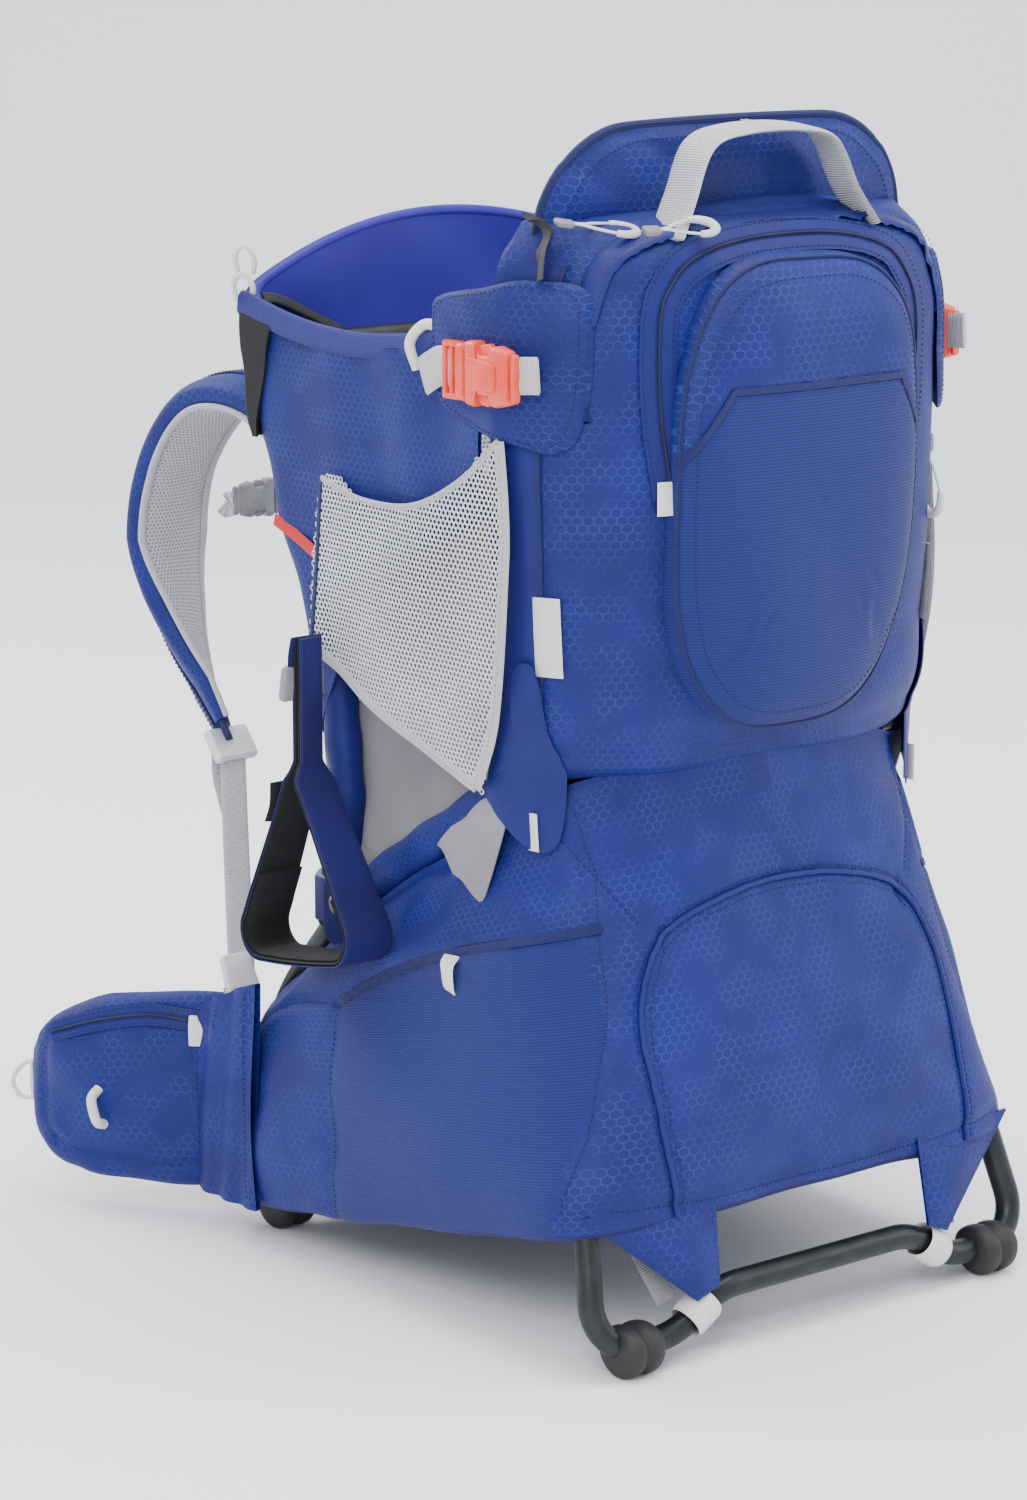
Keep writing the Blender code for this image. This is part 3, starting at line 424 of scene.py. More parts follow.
# distance from a regular net of hexagons: of the two nearest lattice points the nearer one is kept,
# and the distance to its cell's edge is the larger of two projections; 0 at the edge, 0.5 inside
def hexEdge(tree, point, across, stretch=1.0):
    half, size = (0.5, sin60, 0.5), (1 / across, 1 / (across * stretch), 0.0)
    point = node(tree, "VectorMath", {0: point, 1: size}, operation="MULTIPLY")
    places, lengths = [], []
    for start in (point, node(tree, "VectorMath", {0: point, 1: half}, operation="ADD")):
        cell = node(tree, "VectorMath", {0: start, 1: half, 2: tuple(-v for v in half)}, operation="WRAP")
        places.append(node(tree, "VectorMath", {0: cell, 1: (1.0, 1.0, 0.0)}, operation="MULTIPLY"))
        lengths.append(node(tree, "VectorMath", {0: places[-1]}, "Value", operation="LENGTH"))
    nearer = node(tree, "Math", {0: lengths[0], 1: lengths[1]}, operation="LESS_THAN")
    chosen = node(tree, "Mix", {0: nearer, 4: places[1], 5: places[0]}, 1, data_type="VECTOR")
    chosen = node(tree, "VectorMath", {0: chosen}, operation="ABSOLUTE")
    slant, level = (node(tree, "VectorMath", {0: chosen, 1: way}, "Value", operation="DOT_PRODUCT")
                    for way in ((0.5, sin60, 0.0), (1.0, 0.0, 0.0)))
    reach = node(tree, "Math", {0: slant, 1: level}, operation="MAXIMUM")
    return node(tree, "Math", {0: 0.5, 1: reach}, operation="SUBTRACT")


sin60 = 0.8660254
soft = dict(interpolation_type="SMOOTHSTEP")        # a MapRange that eases at both ends
rgb = dict(data_type="RGBA")                        # a Mix of colours: its result is output 2
weave = dict(thread=0.9, relief=0.40, stretch=0.86)


# woven nylon with a face coating: matt, with a soft sheen towards grazing light. The weave's thread
# is 0.3 mm, drawn at 0.9 mm so that it shows. An embossed hexagon net, if any, is across mm wide;
# its raised lines are painted lighter in loose patches: a painted highlight
def nylonCloth(name, colour, dark, bright, across=0.0, roughness=0.56, sheen=0.05):
    made, tree, shader = newMaterial(name)
    p = millimetres(tree)
    cloud = node(tree, "TexNoise", {"Vector": p, "Scale": 0.012, "Detail": 3.0, "Roughness": 0.55})
    shade = node(tree, "MapRange", {0: cloud, 1: 0.3, 2: 0.7}, **soft)
    base = node(tree, "Mix", {0: shade, 6: srgb(dark), 7: srgb(colour)}, 2, **rgb)
    yarns = []
    for way in (0, 1):
        yarn = node(tree, "Math", {0: node(tree, "SeparateXYZ", {0: p}, way),
                                   1: 2 * math.pi / weave["thread"]},
                    operation="MULTIPLY")
        yarns.append(node(tree, "Math", {0: yarn}, operation="SINE"))
    cross = node(tree, "Math", {0: yarns[0], 1: yarns[1]}, operation="MULTIPLY")
    grain = node(tree, "TexNoise", {"Vector": p, "Scale": 0.9, "Detail": 2.0})
    grain = node(tree, "Math", {0: grain, 1: 1.6, 2: cross}, operation="MULTIPLY_ADD")
    normal = node(tree, "Bump", {"Height": grain, "Strength": 0.25, "Distance": 0.00012})
    if across:
        edge = hexEdge(tree, p, across, weave["stretch"])
        line = node(tree, "MapRange", {0: edge, 1: 0.03, 2: 0.11, 3: 1.0, 4: 0.0}, **soft)
        patch = node(tree, "TexNoise", {"Vector": p, "Scale": 0.035, "Detail": 1.0})
        patch = node(tree, "MapRange", {0: patch, 1: 0.35, 2: 0.62}, **soft)
        # painted highlight: the hexagon lines are mixed towards the pale colour in loose patches, standing
        # for light caught by the raised lines
        worn = node(tree, "Math", {0: line, 1: patch}, operation="MULTIPLY")
        worn = node(tree, "Math", {0: worn, 1: 0.22}, operation="MULTIPLY")
        base = node(tree, "Mix", {0: worn, 6: base, 7: srgb(bright)}, 2, **rgb)
        normal = node(tree, "Bump", {"Height": line, "Strength": weave["relief"], "Distance": 0.0009,
                                     "Normal": normal})
    connect(tree, shader, {"Base Color": base, "Normal": normal, "Roughness": roughness,
                           "Specular IOR Level": 0.26, "Sheen Weight": sheen, "Sheen Roughness": 0.45,
                           "Sheen Tint": srgb(bright)})
    return made


# cloth knitted or woven in raised ribs across the piece: height is a sine of the place along V
def ribbedCloth(name, colour, dark, pitch, across=False, roughness=0.7, depth=0.0005, strength=0.6):
    made, tree, shader = newMaterial(name)
    p = millimetres(tree)
    place = node(tree, "SeparateXYZ", {0: p}, 0 if across else 1)
    wobble = node(tree, "TexNoise", {"Vector": p, "Scale": 0.05, "Detail": 2.0})
    place = node(tree, "Math", {0: wobble, 1: 0.5, 2: place}, operation="MULTIPLY_ADD")
    wave = node(tree, "Math", {0: place, 1: 2 * math.pi / pitch}, operation="MULTIPLY")
    wave = node(tree, "Math", {0: wave}, operation="SINE")
    grain = node(tree, "TexNoise", {"Vector": p, "Scale": 1.1, "Detail": 2.0})
    height = node(tree, "Math", {0: grain, 1: 0.7, 2: wave}, operation="MULTIPLY_ADD")
    # painted shade: the colour follows the rib height, so the grooves between the ribs are painted darker
    shade = node(tree, "MapRange", {0: height, 1: -0.7, 2: 1.2}, **soft)
    connect(tree, shader, {
        "Base Color": node(tree, "Mix", {0: shade, 6: srgb(dark), 7: srgb(colour)}, 2, **rgb),
        "Normal": node(tree, "Bump", {"Height": height, "Strength": strength, "Distance": depth}),
        "Roughness": roughness, "Specular IOR Level": 0.3, "Sheen Weight": 0.06, "Sheen Roughness": 0.5})
    return made


# moulded plastic: an even colour with a fine spark-eroded grain and slightly cleaner, glossier wear
def mouldedPlastic(name, colour, worn, roughness, grain=0.25, ior=1.48):
    made, tree, shader = newMaterial(name)
    p = millimetres(tree, "Object")
    fine = node(tree, "TexNoise", {"Vector": p, "Scale": 2.2, "Detail": 2.0})
    broad = node(tree, "TexNoise", {"Vector": p, "Scale": 0.06, "Detail": 3.0})
    shade = node(tree, "MapRange", {0: broad, 1: 0.35, 2: 0.65}, **soft)
    gloss = {0: broad, 1: 0.3, 2: 0.7, 3: roughness - 0.05, 4: roughness + 0.07}
    connect(tree, shader, {
        "Base Color": node(tree, "Mix", {0: shade, 6: srgb(colour), 7: srgb(worn)}, 2, **rgb),
        "Normal": node(tree, "Bump", {"Height": fine, "Strength": grain, "Distance": 0.00015}),
        "Roughness": node(tree, "MapRange", gloss, **soft), "IOR": ior})
    return made


# anodised drawn aluminium tube: dark gunmetal, satin, with faint lengthwise draw lines and dust
def anodisedTube(name, colour, worn):
    made, tree, shader = newMaterial(name)
    p = millimetres(tree)
    lines = node(tree, "Mapping", {"Vector": p, "Scale": (1.0, 0.03, 1.0)})
    draw = node(tree, "TexNoise", {"Vector": lines, "Scale": 1.2, "Detail": 3.0})
    broad = node(tree, "TexNoise", {"Vector": p, "Scale": 0.04, "Detail": 4.0})
    shade = node(tree, "MapRange", {0: broad, 1: 0.4, 2: 0.75}, **soft)
    connect(tree, shader, {
        "Base Color": node(tree, "Mix", {0: shade, 6: srgb(colour), 7: srgb(worn)}, 2, **rgb),
        "Normal": node(tree, "Bump", {"Height": draw, "Strength": 0.12, "Distance": 0.0001}),
        "Roughness": node(tree, "MapRange", {0: draw, 1: 0.3, 2: 0.7, 3: 0.34, 4: 0.48}, **soft),
        "Metallic": 0.75})
    return made


# three-dimensional spacer mesh: rows of small hexagonal pits over pale yarn, each pit painted darker towards
# its middle as painted shade in the hollow
def spacerMesh(name, colour, pit, across):
    made, tree, shader = newMaterial(name)
    p = millimetres(tree)
    rise = node(tree, "MapRange", {0: hexEdge(tree, p, across), 1: 0.08, 2: 0.34, 3: 1.0, 4: 0.0}, **soft)
    yarn = node(tree, "TexNoise", {"Vector": p, "Scale": 1.4, "Detail": 2.0})
    height = node(tree, "Math", {0: yarn, 1: 0.25, 2: rise}, operation="MULTIPLY_ADD")
    # painted shade: the colour follows the relief, darker down in each pit
    connect(tree, shader, {
        "Base Color": node(tree, "Mix", {0: rise, 6: srgb(pit), 7: srgb(colour)}, 2, **rgb),
        "Normal": node(tree, "Bump", {"Height": height, "Strength": 0.8, "Distance": 0.0012}),
        "Roughness": 0.85, "Specular IOR Level": 0.2, "Sheen Weight": 0.2})
    return made


ripstop = nylonCloth("embossedRipstopNylon", "#101a68", "#0d165a", "#3a58b4", across=6.6)
ripstopSmall = nylonCloth("embossedRipstopSide", "#101a68", "#0d165a", "#3856b0", across=5.6)
plainNylon = nylonCloth("plainWovenNylon", "#121a66", "#0f155a", "#2e4498", roughness=0.5)
innerNylon = nylonCloth("smoothCockpitNylon", "#26198c", "#20157c", "#4048a8", roughness=0.45)
darkNylon = nylonCloth("darkBlueNylon", "#191a58", "#131346", "#333b88", roughness=0.6)
navyNylon = nylonCloth("navyHarnessNylon", "#0c0e24", "#08091a", "#1c2450", across=4.5, roughness=0.62)
greyLining = nylonCloth("greyLiningNylon", "#85838a", "#77757c", "#b0afb6", roughness=0.6, sheen=0.2)
redNylon = nylonCloth("redAccentNylon", "#c8282c", "#b02226", "#f06a60", roughness=0.55)
stretchCloth = ribbedCloth("stretchWovenPanel", "#10206c", "#0c1858", 1.9)
sideStretch = ribbedCloth("stretchSidePocket", "#10206e", "#0c185a", 1.9)
blackBrushed = ribbedCloth("brushedBlackTricot", "#18181b", "#0e0e11", 1.3, roughness=0.9, strength=0.3)
rimBinding = ribbedCloth("cockpitRimBinding", "#181f78", "#131968", 1.1, across=True)
blueBinding = ribbedCloth("blueEdgeBinding", "#141d5c", "#10164a", 1.1, across=True)
greyBinding = ribbedCloth("greyEdgeBinding", "#c4c3c8", "#a9a8ae", 1.1, across=True)
paleWebbing = ribbedCloth("paleWovenWebbing", "#cfcfd2", "#aeadb2", 1.6, strength=0.7, depth=0.0006)
greyWebbing = ribbedCloth("greyWovenWebbing", "#9b9aa0", "#7d7c82", 1.5, strength=0.7, depth=0.0006)
threadDark = mouldedPlastic("polyesterThreadNavy", "#141740", "#101238", 0.7)
threadGrey = mouldedPlastic("polyesterThreadGrey", "#8c8b92", "#9a99a0", 0.7)
whiteTape = ribbedCloth("whiteTabTape", "#e2e1de", "#c9c8c8", 1.0, strength=0.35)
blackTape = ribbedCloth("blackTabTape", "#1b1c20", "#101114", 1.0, strength=0.35)
spacer = spacerMesh("greySpacerMesh", "#c4c3ca", "#83828d", 3.2)
netYarn = nylonCloth("paleNetYarn", "#cbcbce", "#b9b9bd", "#e4e4e6", roughness=0.7, sheen=0.25)
acetalPale = mouldedPlastic("paleAcetal", "#c9c9cb", "#d6d6d7", 0.42)
acetalGrey = mouldedPlastic("greyAcetal", "#737277", "#808086", 0.42)
acetalRed = mouldedPlastic("redAcetal", "#e2402f", "#ea5240", 0.33)
acetalDark = mouldedPlastic("darkBlueAcetal", "#232558", "#2a2c66", 0.45)
rubber = mouldedPlastic("mouldedRubber", "#0f1011", "#161718", 0.62, grain=0.5, ior=1.52)
softRubber = mouldedPlastic("greyPullRubber", "#c2c1c4", "#cfced0", 0.5)
tubeMetal = anodisedTube("anodisedAluminiumTube", "#2b2d2f", "#37393c")
steel = anodisedTube("platedSteel", "#8f9194", "#a4a6a9")
print("materials made")


# the camera, the lamps and the paper floor
def stageAndCamera():
    data = bpy.data.cameras.new("camera")
    data.lens, data.sensor_width = 103.34, 36.0
    view = bpy.data.objects.new("camera", data)
    view.location = (-1.7224, -2.0333 + midY, 0.9247)
    view.rotation_euler = (math.radians(77.449), 0, math.radians(-38.625))
    scene.collection.objects.link(view)
    scene.camera = view
    # a pale seamless sweep: flat underfoot, rising behind in a quarter circle
    reach, radius = 6.0, 1.5
    back = np.linspace(0, math.pi / 2, 13)
    line = [(-reach, 0.0)] + list(zip(3.0 + radius * np.sin(back), radius - radius * np.cos(back))) + [(4.5,
                                                                                                        5.0)]
    turn = math.radians(-38.6)
    ahead, aside = np.array([-math.sin(turn), math.cos(turn)]), np.array([math.cos(turn), math.sin(turn)])
    verts = [(*(ahead * d + aside * w), h) for w in (-7.0, 7.0) for d, h in line]
    n = len(line)
    data = bpy.data.meshes.new("studioFloor")
    data.from_pydata(verts, [], [(k, k + n, k + n + 1, k + 1) for k in range(n - 1)])
    data.shade_smooth()
    paper, tree, shader = newMaterial("matteBackdropPaper")
    fibre = node(tree, "TexNoise", {"Scale": 900.0, "Detail": 2.0})
    connect(tree, shader, {"Base Color": srgb("#f4f4f5"), "Roughness": 0.9,
                           "Normal": node(tree, "Bump", {"Height": fibre, "Strength": 0.05,
                                                         "Distance": 0.0002})})
    data.materials.append(paper)
    floor = bpy.data.objects.new("studioFloor", data)
    scene.collection.objects.link(floor)
    world = bpy.data.worlds.new("softStudio")
    world.use_nodes = True
    world.node_tree.nodes["Background"].inputs["Color"].default_value = srgb("#f1f4fa")
    world.node_tree.nodes["Background"].inputs["Strength"].default_value = studio["world"]
    scene.world = world
    for name, place, size, power in studio["lamps"]:
        lamp = bpy.data.lights.new(name, "AREA")
        lamp.shape, lamp.size, lamp.energy = "DISK", size, power
        holder = bpy.data.objects.new(name, lamp)
        holder.location = place
        holder.rotation_euler = (Vector((0, 0, 0.35)) - Vector(place)).to_track_quat("-Z", "Y").to_euler()
        scene.collection.objects.link(holder)


studio = dict(world=1.35, lamps=[("keyLight", (-2.6, -2.2, 2.6), 1.8, 95),
                                 ("topLight", (0.3, -0.3, 3.0), 2.2, 85),
                                 ("fillLight", (2.6, -1.8, 1.6), 2.0, 38),
                                 ("backLight", (-0.8, 2.6, 2.2), 2.0, 70)])
stageAndCamera()
print("stage and camera made")


# bent tubes, feet and brackets
def mainFramePath():
    half = [(0.080, footY, footZ + 0.022), (footX - 0.034, footY, footZ), (frameX + 0.016, footY, footZ)]
    half += [(frameX, y, z) for y, z in frameSide]
    radii = [0.05, 0.05, 0.028, 0.10, 0.06, 0.20, 0.20, 0.10, 0.04]
    whole = half + [(-x, y, z) for x, y, z in reversed(half)]
    return roundedPath(whole, radii + radii[::-1], 0.005, closed=True)


def standPath():
    legTop = frameX - 2 * tubeR - 0.008
    half = [(0.080, -footY, footZ + 0.022), (footX - 0.034, -footY, footZ), (legTop + 0.050, -footY, footZ),
            (legTop, hoopY - 0.004, waistZ - 0.0145)]
    whole = [(-x, y, z) for x, y, z in reversed(half)] + half
    return roundedPath(whole, [0, 0.034, 0.05, 0.05, 0.05, 0.05, 0.034, 0], 0.005)


def hoopPath():
    half = [(frameX, lumbarY - 0.013, lumbarZ - 0.060), (frameX, hoopY, waistZ + 0.004),
            (frameX, hoopY, rimZ - 0.04), (0.118, hoopY, topZ - 0.024)]
    whole = half + [(-x, y, z) for x, y, z in reversed(half)]
    return roundedPath(whole, [0, 0.030, 0.12, 0.05, 0.05, 0.12, 0.030, 0], 0.006)


def frameTubes():
    for name, path, body, closed, stands in (
            ("frameTube", mainFramePath(), "carrier", True, "main_frame_tube"),
            ("rearHoopTube", hoopPath(), "carrier", False, "rear_hoop_tube"),
            ("kickstandTube", standPath(), "kickstand", False, "kickstand_tube")):
        cordTube(name, path, tubeR, tubeMetal, body, closed=closed, sides=24, slot="frame_tube",
                 stands=[stands])


# a rubber foot: rings round the bar whose radius swells twice along it, cut flat by the ground; the
# clamp's split shows as a groove between the two swellings
foot = dict(length=0.031, radius=0.0182, waist=0.16, rings=26)


def rubberFoot(name, x, y, body, stands):
    at = np.linspace(-1, 1, foot["rings"])
    swell = (1 - foot["waist"] * np.exp(-(at / 0.16) ** 2)) * (1 - abs(at) ** 5) ** 0.3
    radius = np.maximum(foot["radius"] * swell, tubeR * 0.96)
    path = np.stack([x + at * foot["length"] / 2, y + 0 * at, footZ + 0 * at], 1)
    ring = circle(1.0, 32)
    profile = ring[None] * radius[:, None, None]
    grid, uv = sweep(path, profile, (0, 1, 0))
    grid[..., 2] = np.maximum(grid[..., 2], 0.0)
    top = grid[..., 2] > footZ + 0.004
    grid[..., 2] = np.where(top, footZ + 0.004 + (grid[..., 2] - footZ - 0.004) * 0.72, grid[..., 2])
    addPiece(name, (grid, uv), rubber, body, slot="rubber", stands=stands)


def frameDetails():
    for side, s in bothSides:
        rubberFoot("frameFoot_" + side, s * footX, footY, "carrier", ["frame_foot_" + side])
        rubberFoot("kickstandFoot_" + side, s * footX, -footY, "kickstand", ["kickstand_foot_" + side])
        for name, finish in (("frame_bracket_", acetalDark), ("kickstand_lug_", rubber),
                             ("frame_rivet_", steel),
                             ("kickstand_pin_", steel)):
            cad = frame["nodes"][name + side]
            cad.data.materials.clear()
            cad.data.materials.append(finish)
        # blue cloth sleeve over the side tube, ending in a black cuff above the bracket
        path = mainFramePath()
        path = path[(path[:, 0] * s > 0) & (path[:, 2] > 0.243) & (path[:, 2] < topBarZ - 0.012)]
        path = path[np.argsort(path[:, 2])]
        wave = 0.0118 + 0.0006 * np.sin(path[:, 2] * 190) + 0.0004 * np.sin(path[:, 2] * 71)
        addPiece("frameSleeve_" + side, sweep(path, circle(1.0, 20)[None] * wave[:, None, None]),
                 plainNylon,
                 "carrier", slot="fabric_blue")
        cuff = path[path[:, 2] < 0.275]
        start = cuff[0] + (cuff[0] - cuff[1]) * 5
        line = evenly(np.vstack([start, cuff[0], cuff[4]]), 0.003)
        cordTube("sleeveCuff_" + side, line, 0.0136, blackBrushed, "carrier", sides=20)


frameTubes()
frameDetails()
print("frame made")


# padded fabric: a coarse copy of the grid is welded, its seams are pinned, and Blender's cloth blows it
# up with gravity off; how far each point moved is capped, spread back over the fine grid and added
def puff(grid, pinned, pressure=4.0, cap=0.006, step=2, frames=20):
    rows, cols = grid.shape[:2]
    pickR = np.unique(np.append(np.arange(0, rows, step), rows - 1))
    pickC = np.unique(np.append(np.arange(0, cols, step), cols - 1))
    coarse = grid[np.ix_(pickR, pickC)].reshape(-1, 3)
    _, first, inverse = np.unique(np.round(coarse, 6), axis=0, return_index=True, return_inverse=True)
    points, inverse = coarse[first], inverse.reshape(-1)
    index = inverse.reshape(len(pickR), len(pickC))
    quads = gridQuads(index)
    faces = [list(dict.fromkeys(q)) for q in quads.tolist()]
    data = bpy.data.meshes.new("blown")
    data.from_pydata(points.tolist(), [], [f for f in faces if len(f) > 2])
    shape = bmesh.new()
    shape.from_mesh(data)
    bmesh.ops.recalc_face_normals(shape, faces=shape.faces)
    shape.to_mesh(data)
    shape.free()
    blown = bpy.data.objects.new("blown", data)
    scene.collection.objects.link(blown)
    seams = blown.vertex_groups.new(name="seams")
    seams.add(np.nonzero(pinned(points))[0].tolist(), 1.0, "REPLACE")
    cloth = blown.modifiers.new("cloth", "CLOTH")
    feel = cloth.settings
    feel.quality, feel.mass = 5, 0.3
    feel.tension_stiffness = feel.compression_stiffness = 12
    feel.shear_stiffness, feel.bending_stiffness = 4, 0.4
    feel.use_pressure, feel.uniform_pressure_force = True, pressure
    feel.effector_weights.gravity = 0
    feel.vertex_group_mass = "seams"
    cloth.collision_settings.use_collision = False
    cloth.point_cache.frame_start, cloth.point_cache.frame_end = 1, frames
    for number in range(1, frames + 1):
        scene.frame_set(number)
    done = blown.evaluated_get(bpy.context.evaluated_depsgraph_get())
    after = np.zeros(len(points) * 3, np.float32)
    done.data.vertices.foreach_get("co", after)
    move = after.reshape(-1, 3) - points
    far = np.linalg.norm(move, axis=1, keepdims=True)
    move = move * np.minimum(1, cap / np.maximum(far, 1e-9))
    bpy.data.objects.remove(blown)
    bpy.data.meshes.remove(data)
    scene.frame_set(1)
    move = move[inverse].reshape(len(pickR), len(pickC), 3)
    wide = np.stack([[np.interp(np.arange(cols), pickC, line[:, k]) for k in range(3)] for line in move])
    fine = np.stack([[np.interp(np.arange(rows), pickR,
                                wide[:, k, c]) for c in range(cols)] for k in range(3)])
    fine = np.moveaxis(fine, (0, 1, 2), (2, 1, 0))
    for axis in (0, 1):
        ends = [(0, 0)] * 3
        ends[axis] = (1, 1)
        padded = np.pad(fine, ends, mode="edge")
        cut = [padded.take(range(k, k + fine.shape[axis]), axis=axis) for k in (0, 1, 2)]
        fine = (cut[0] + 2 * cut[1] + cut[2]) / 4
    fine[:, -1] = fine[:, 0] if np.allclose(grid[:, -1], grid[:, 0]) else fine[:, -1]
    return grid + fine


def nearSeams(lines, reach):
    def pinned(points):
        return np.min([nearLine(points, line, reach * 2) for line in lines], axis=0) < reach ** 2
    return pinned


# level sections of the pack: height, half width, rear depth, roundness; each section is a straight front
# edge and a rear arc |x/a|^n + |y/b|^n = 1, and the values between the heights are eased by cubics
packRows = np.array([
    (waistZ - 0.004, sideX - 0.018, packRear + 0.050, 2.7),
                     (waistZ + 0.004, sideX - 0.004, packRear + 0.032, 2.8),
    (waistZ + 0.022, sideX + 0.003, packRear + 0.019, 2.8),
                     (waistZ + 0.080, sideX + 0.0045, packRear + 0.009, 2.8),
    (waistZ + 0.160, sideX + 0.005, packRear + 0.002, 2.9),
                     (waistZ + 0.235, sideX + 0.005, packRear + 0.000, 2.95),
    (rimZ + 0.040, sideX + 0.002, packRear + 0.002, 2.9),
                     (rimZ + 0.066, sideX - 0.006, packRear + 0.009, 2.8),
    (rimZ + 0.080, sideX - 0.020, packRear + 0.022, 2.7)])
packFront = hoopY + 0.0105
upperPack = dict(step=0.0027, centre=-0.030, around=232, sag=0.016, lidRise=0.012)


def packRowAt(z):
    knots = packRows[:, 0]
    return easeThrough(knots, packRows[:, 1:], np.clip(z, knots[0], knots[-1]))


def packRearAt(x, z):
    half, rear, power = np.moveaxis(packRowAt(z), -1, 0)
    share = np.clip(1 - np.clip(abs(x) / half, 0, 1) ** power, 0, 1) ** (1 / power)
    return upperPack["centre"] - (upperPack["centre"] - rear) * share


def packSideAt(y, z):
    half, rear, power = np.moveaxis(packRowAt(z), -1, 0)
    share = np.clip((upperPack["centre"] - y) / (upperPack["centre"] - rear), 0, 0.999)
    return half * (1 - share ** power) ** (1 / power)


# one section read at a fixed number of even steps, starting at the middle of its front
def packSection(half, rear, power):
    angle = np.linspace(0, math.pi, 700)
    c, s = np.cos(angle), np.sin(angle)
    x = half * np.sign(c) * abs(c) ** (2 / power)
    y = upperPack["centre"] - (upperPack["centre"] - rear) * s ** (2 / power)
    keep = y < packFront
    fine = np.vstack([[(0, packFront)], np.stack([x[keep], y[keep]], 1), [(0, packFront)]])
    run = runOf(fine)
    at = np.linspace(0, run[-1], upperPack["around"] + 1)
    return readAt(at, run, fine)


def upperPackGrid():
    u = upperPack
    z = np.arange(packRows[0, 0], packRows[-1, 0], u["step"])
    flat = np.array([packSection(*row) for row in packRowAt(z)])
    grid = np.concatenate([flat, np.broadcast_to(z[:, None, None], flat.shape[:2] + (1,))], -1).copy()
    shareX, shareY = grid[..., 0] / sideX, (grid[..., 1] - packFront) / (packRear - packFront)
    bulge = np.clip(1 - shareX ** 2, 0, 1) * np.clip(shareY, 0, 1) ** 3
    # the bottom sags over the waist at the rear, and the lid rises towards the headrest
    lowPart = np.clip(1 - (z - z[0]) / 0.09, 0, 1)[:, None] ** 2
    grid[..., 2] -= u["sag"] * lowPart * bulge
    highPart = np.clip((z - rimZ - 0.045) / 0.04, 0, 1)[:, None]
    grid[..., 2] += u["lidRise"] * highPart * (1 - shareY) * np.clip(1 - (abs(shareX) - 0.3) ** 2, 0, 1)
    dome = np.linspace(1, 0, 16)[1:, None, None]
    middle = grid.mean(1, keepdims=True)
    top = middle[-1:] + (grid[-1:] - middle[-1:]) * dome + (0, 0, 0.008) * (1 - dome ** 2)
    bottom = (middle[:1] + (grid[:1] - middle[:1]) * dome)[::-1]
    widest = flat[np.argmax(flat[:, :, 0].max(1))]
    return np.concatenate([bottom, grid, top]), widest


# creases pull the cloth in along drawn lines by a bell curve of the distance; slack waves lie between
def creased(grid, lines, depth=0.0022, width=0.0045, waves=0.0009, size=0.11, seed=1):
    normals = gridNormals(grid)
    centre = grid.reshape(-1, 3).mean(0)
    flip = np.sign(np.sum(normals * (grid - centre), -1, keepdims=True).mean())
    normals = normals * flip
    move = slack(grid, size, waves, seed)
    for line in lines:
        near = nearLine(grid, line, width * 3)
        move = move - depth * np.exp(-near / width ** 2)
    made = grid + normals * move[..., None]
    made[:, -1] = made[:, 0]
    return made


def meshTree(grid):
    rows, cols = grid.shape[:2]
    index = np.arange(rows * cols).reshape(rows, cols)
    quads = gridQuads(index)
    return BVHTree.FromPolygons((grid.reshape(-1, 3) + home).tolist(), quads.tolist())


def line3(points, fixed, axis):
    # (a, b) pairs drawn on a plane across one axis become points of space
    points = np.asarray(points, float)
    return np.insert(points, axis, fixed, axis=1)


def ringUV(grid, ring):
    run = runOf(ring)
    tall = np.concatenate([[0], np.cumsum(np.linalg.norm(np.diff(grid, axis=0), axis=2).max(1))])
    return np.stack(np.broadcast_arrays(run[None, :], tall[:, None]), -1)


# drops a drawn curve onto a surface and adds what is sewn along it
def drawn(tree, points, fixed, axis, direction, spacing=0.003, lift=0.0):
    path = smoothPath(line3(points, fixed, axis), spacing)
    return layOn(tree, path, direction, lift)


def piping(name, line, normals, radius, finish, body, **rest):
    return cordTube(name, line + normals * radius * 0.35, radius, finish, body, sides=8, **rest)


# a strip of cloth tape laid on a surface along a line, its width square to the normal
def tape(name, line, normals, width, thick, finish, body, shift=0.0, **rest):
    across = unit(np.cross(tangents(line), normals))
    path = line + across * shift + normals * thick * 0.4
    return addPiece(name, sweep(path, softRect(width, thick, 3.0, 14), across), finish, body, **rest)


# a coil zip: tape, two rows of stitching, a closed coil with a tooth every pitch, and a dark split
def coilZip(name, line, normals, body, width=0.024, cloth=None, blend=None):
    tape(name + "Tape", line, normals, width, 0.0012, cloth or plainNylon, body, blend=blend)
    across = unit(np.cross(tangents(line), normals))
    raised = line + normals * 0.0012
    stitches(name + "Stitches", [(raised + across * width * s, normals) for s in (0.40, -0.40)], threadDark,
             body,
             blend=blend)
    run = runOf(line)
    at = np.arange(0.001, run[-1], 0.0016)
    pick = [readAt(at, run, v) for v in (raised, normals, across)]
    base, sides = octahedron
    verts, faces = repeated(base * (0.0029, 0.0005, 0.0009), sides, pick[0], unit(pick[2]),
                            np.cross(unit(pick[1]), unit(pick[2])), unit(pick[1]))
    meshPiece(name + "Coil", verts + home, faces, None, threadDark, body, weld=False, sharp=0, blend=blend)
    piping(name + "Split", line + normals * 0.0016, normals, 0.0006, threadDark, body, blend=blend)


zipLine = [(-0.094, 0.521), (-0.102, 0.568), (-0.1025, 0.620), (-0.092, 0.645), (-0.072, 0.659),
           (-0.030, 0.667)]
zipLine = zipLine + [(-x, z) for x, z in reversed(zipLine)]
sideSeam = [(-0.104, 0.655), (-0.100, 0.60), (-0.098, 0.559), (-0.097, 0.470), (-0.094, 0.385),
            (-0.090, 0.352)]


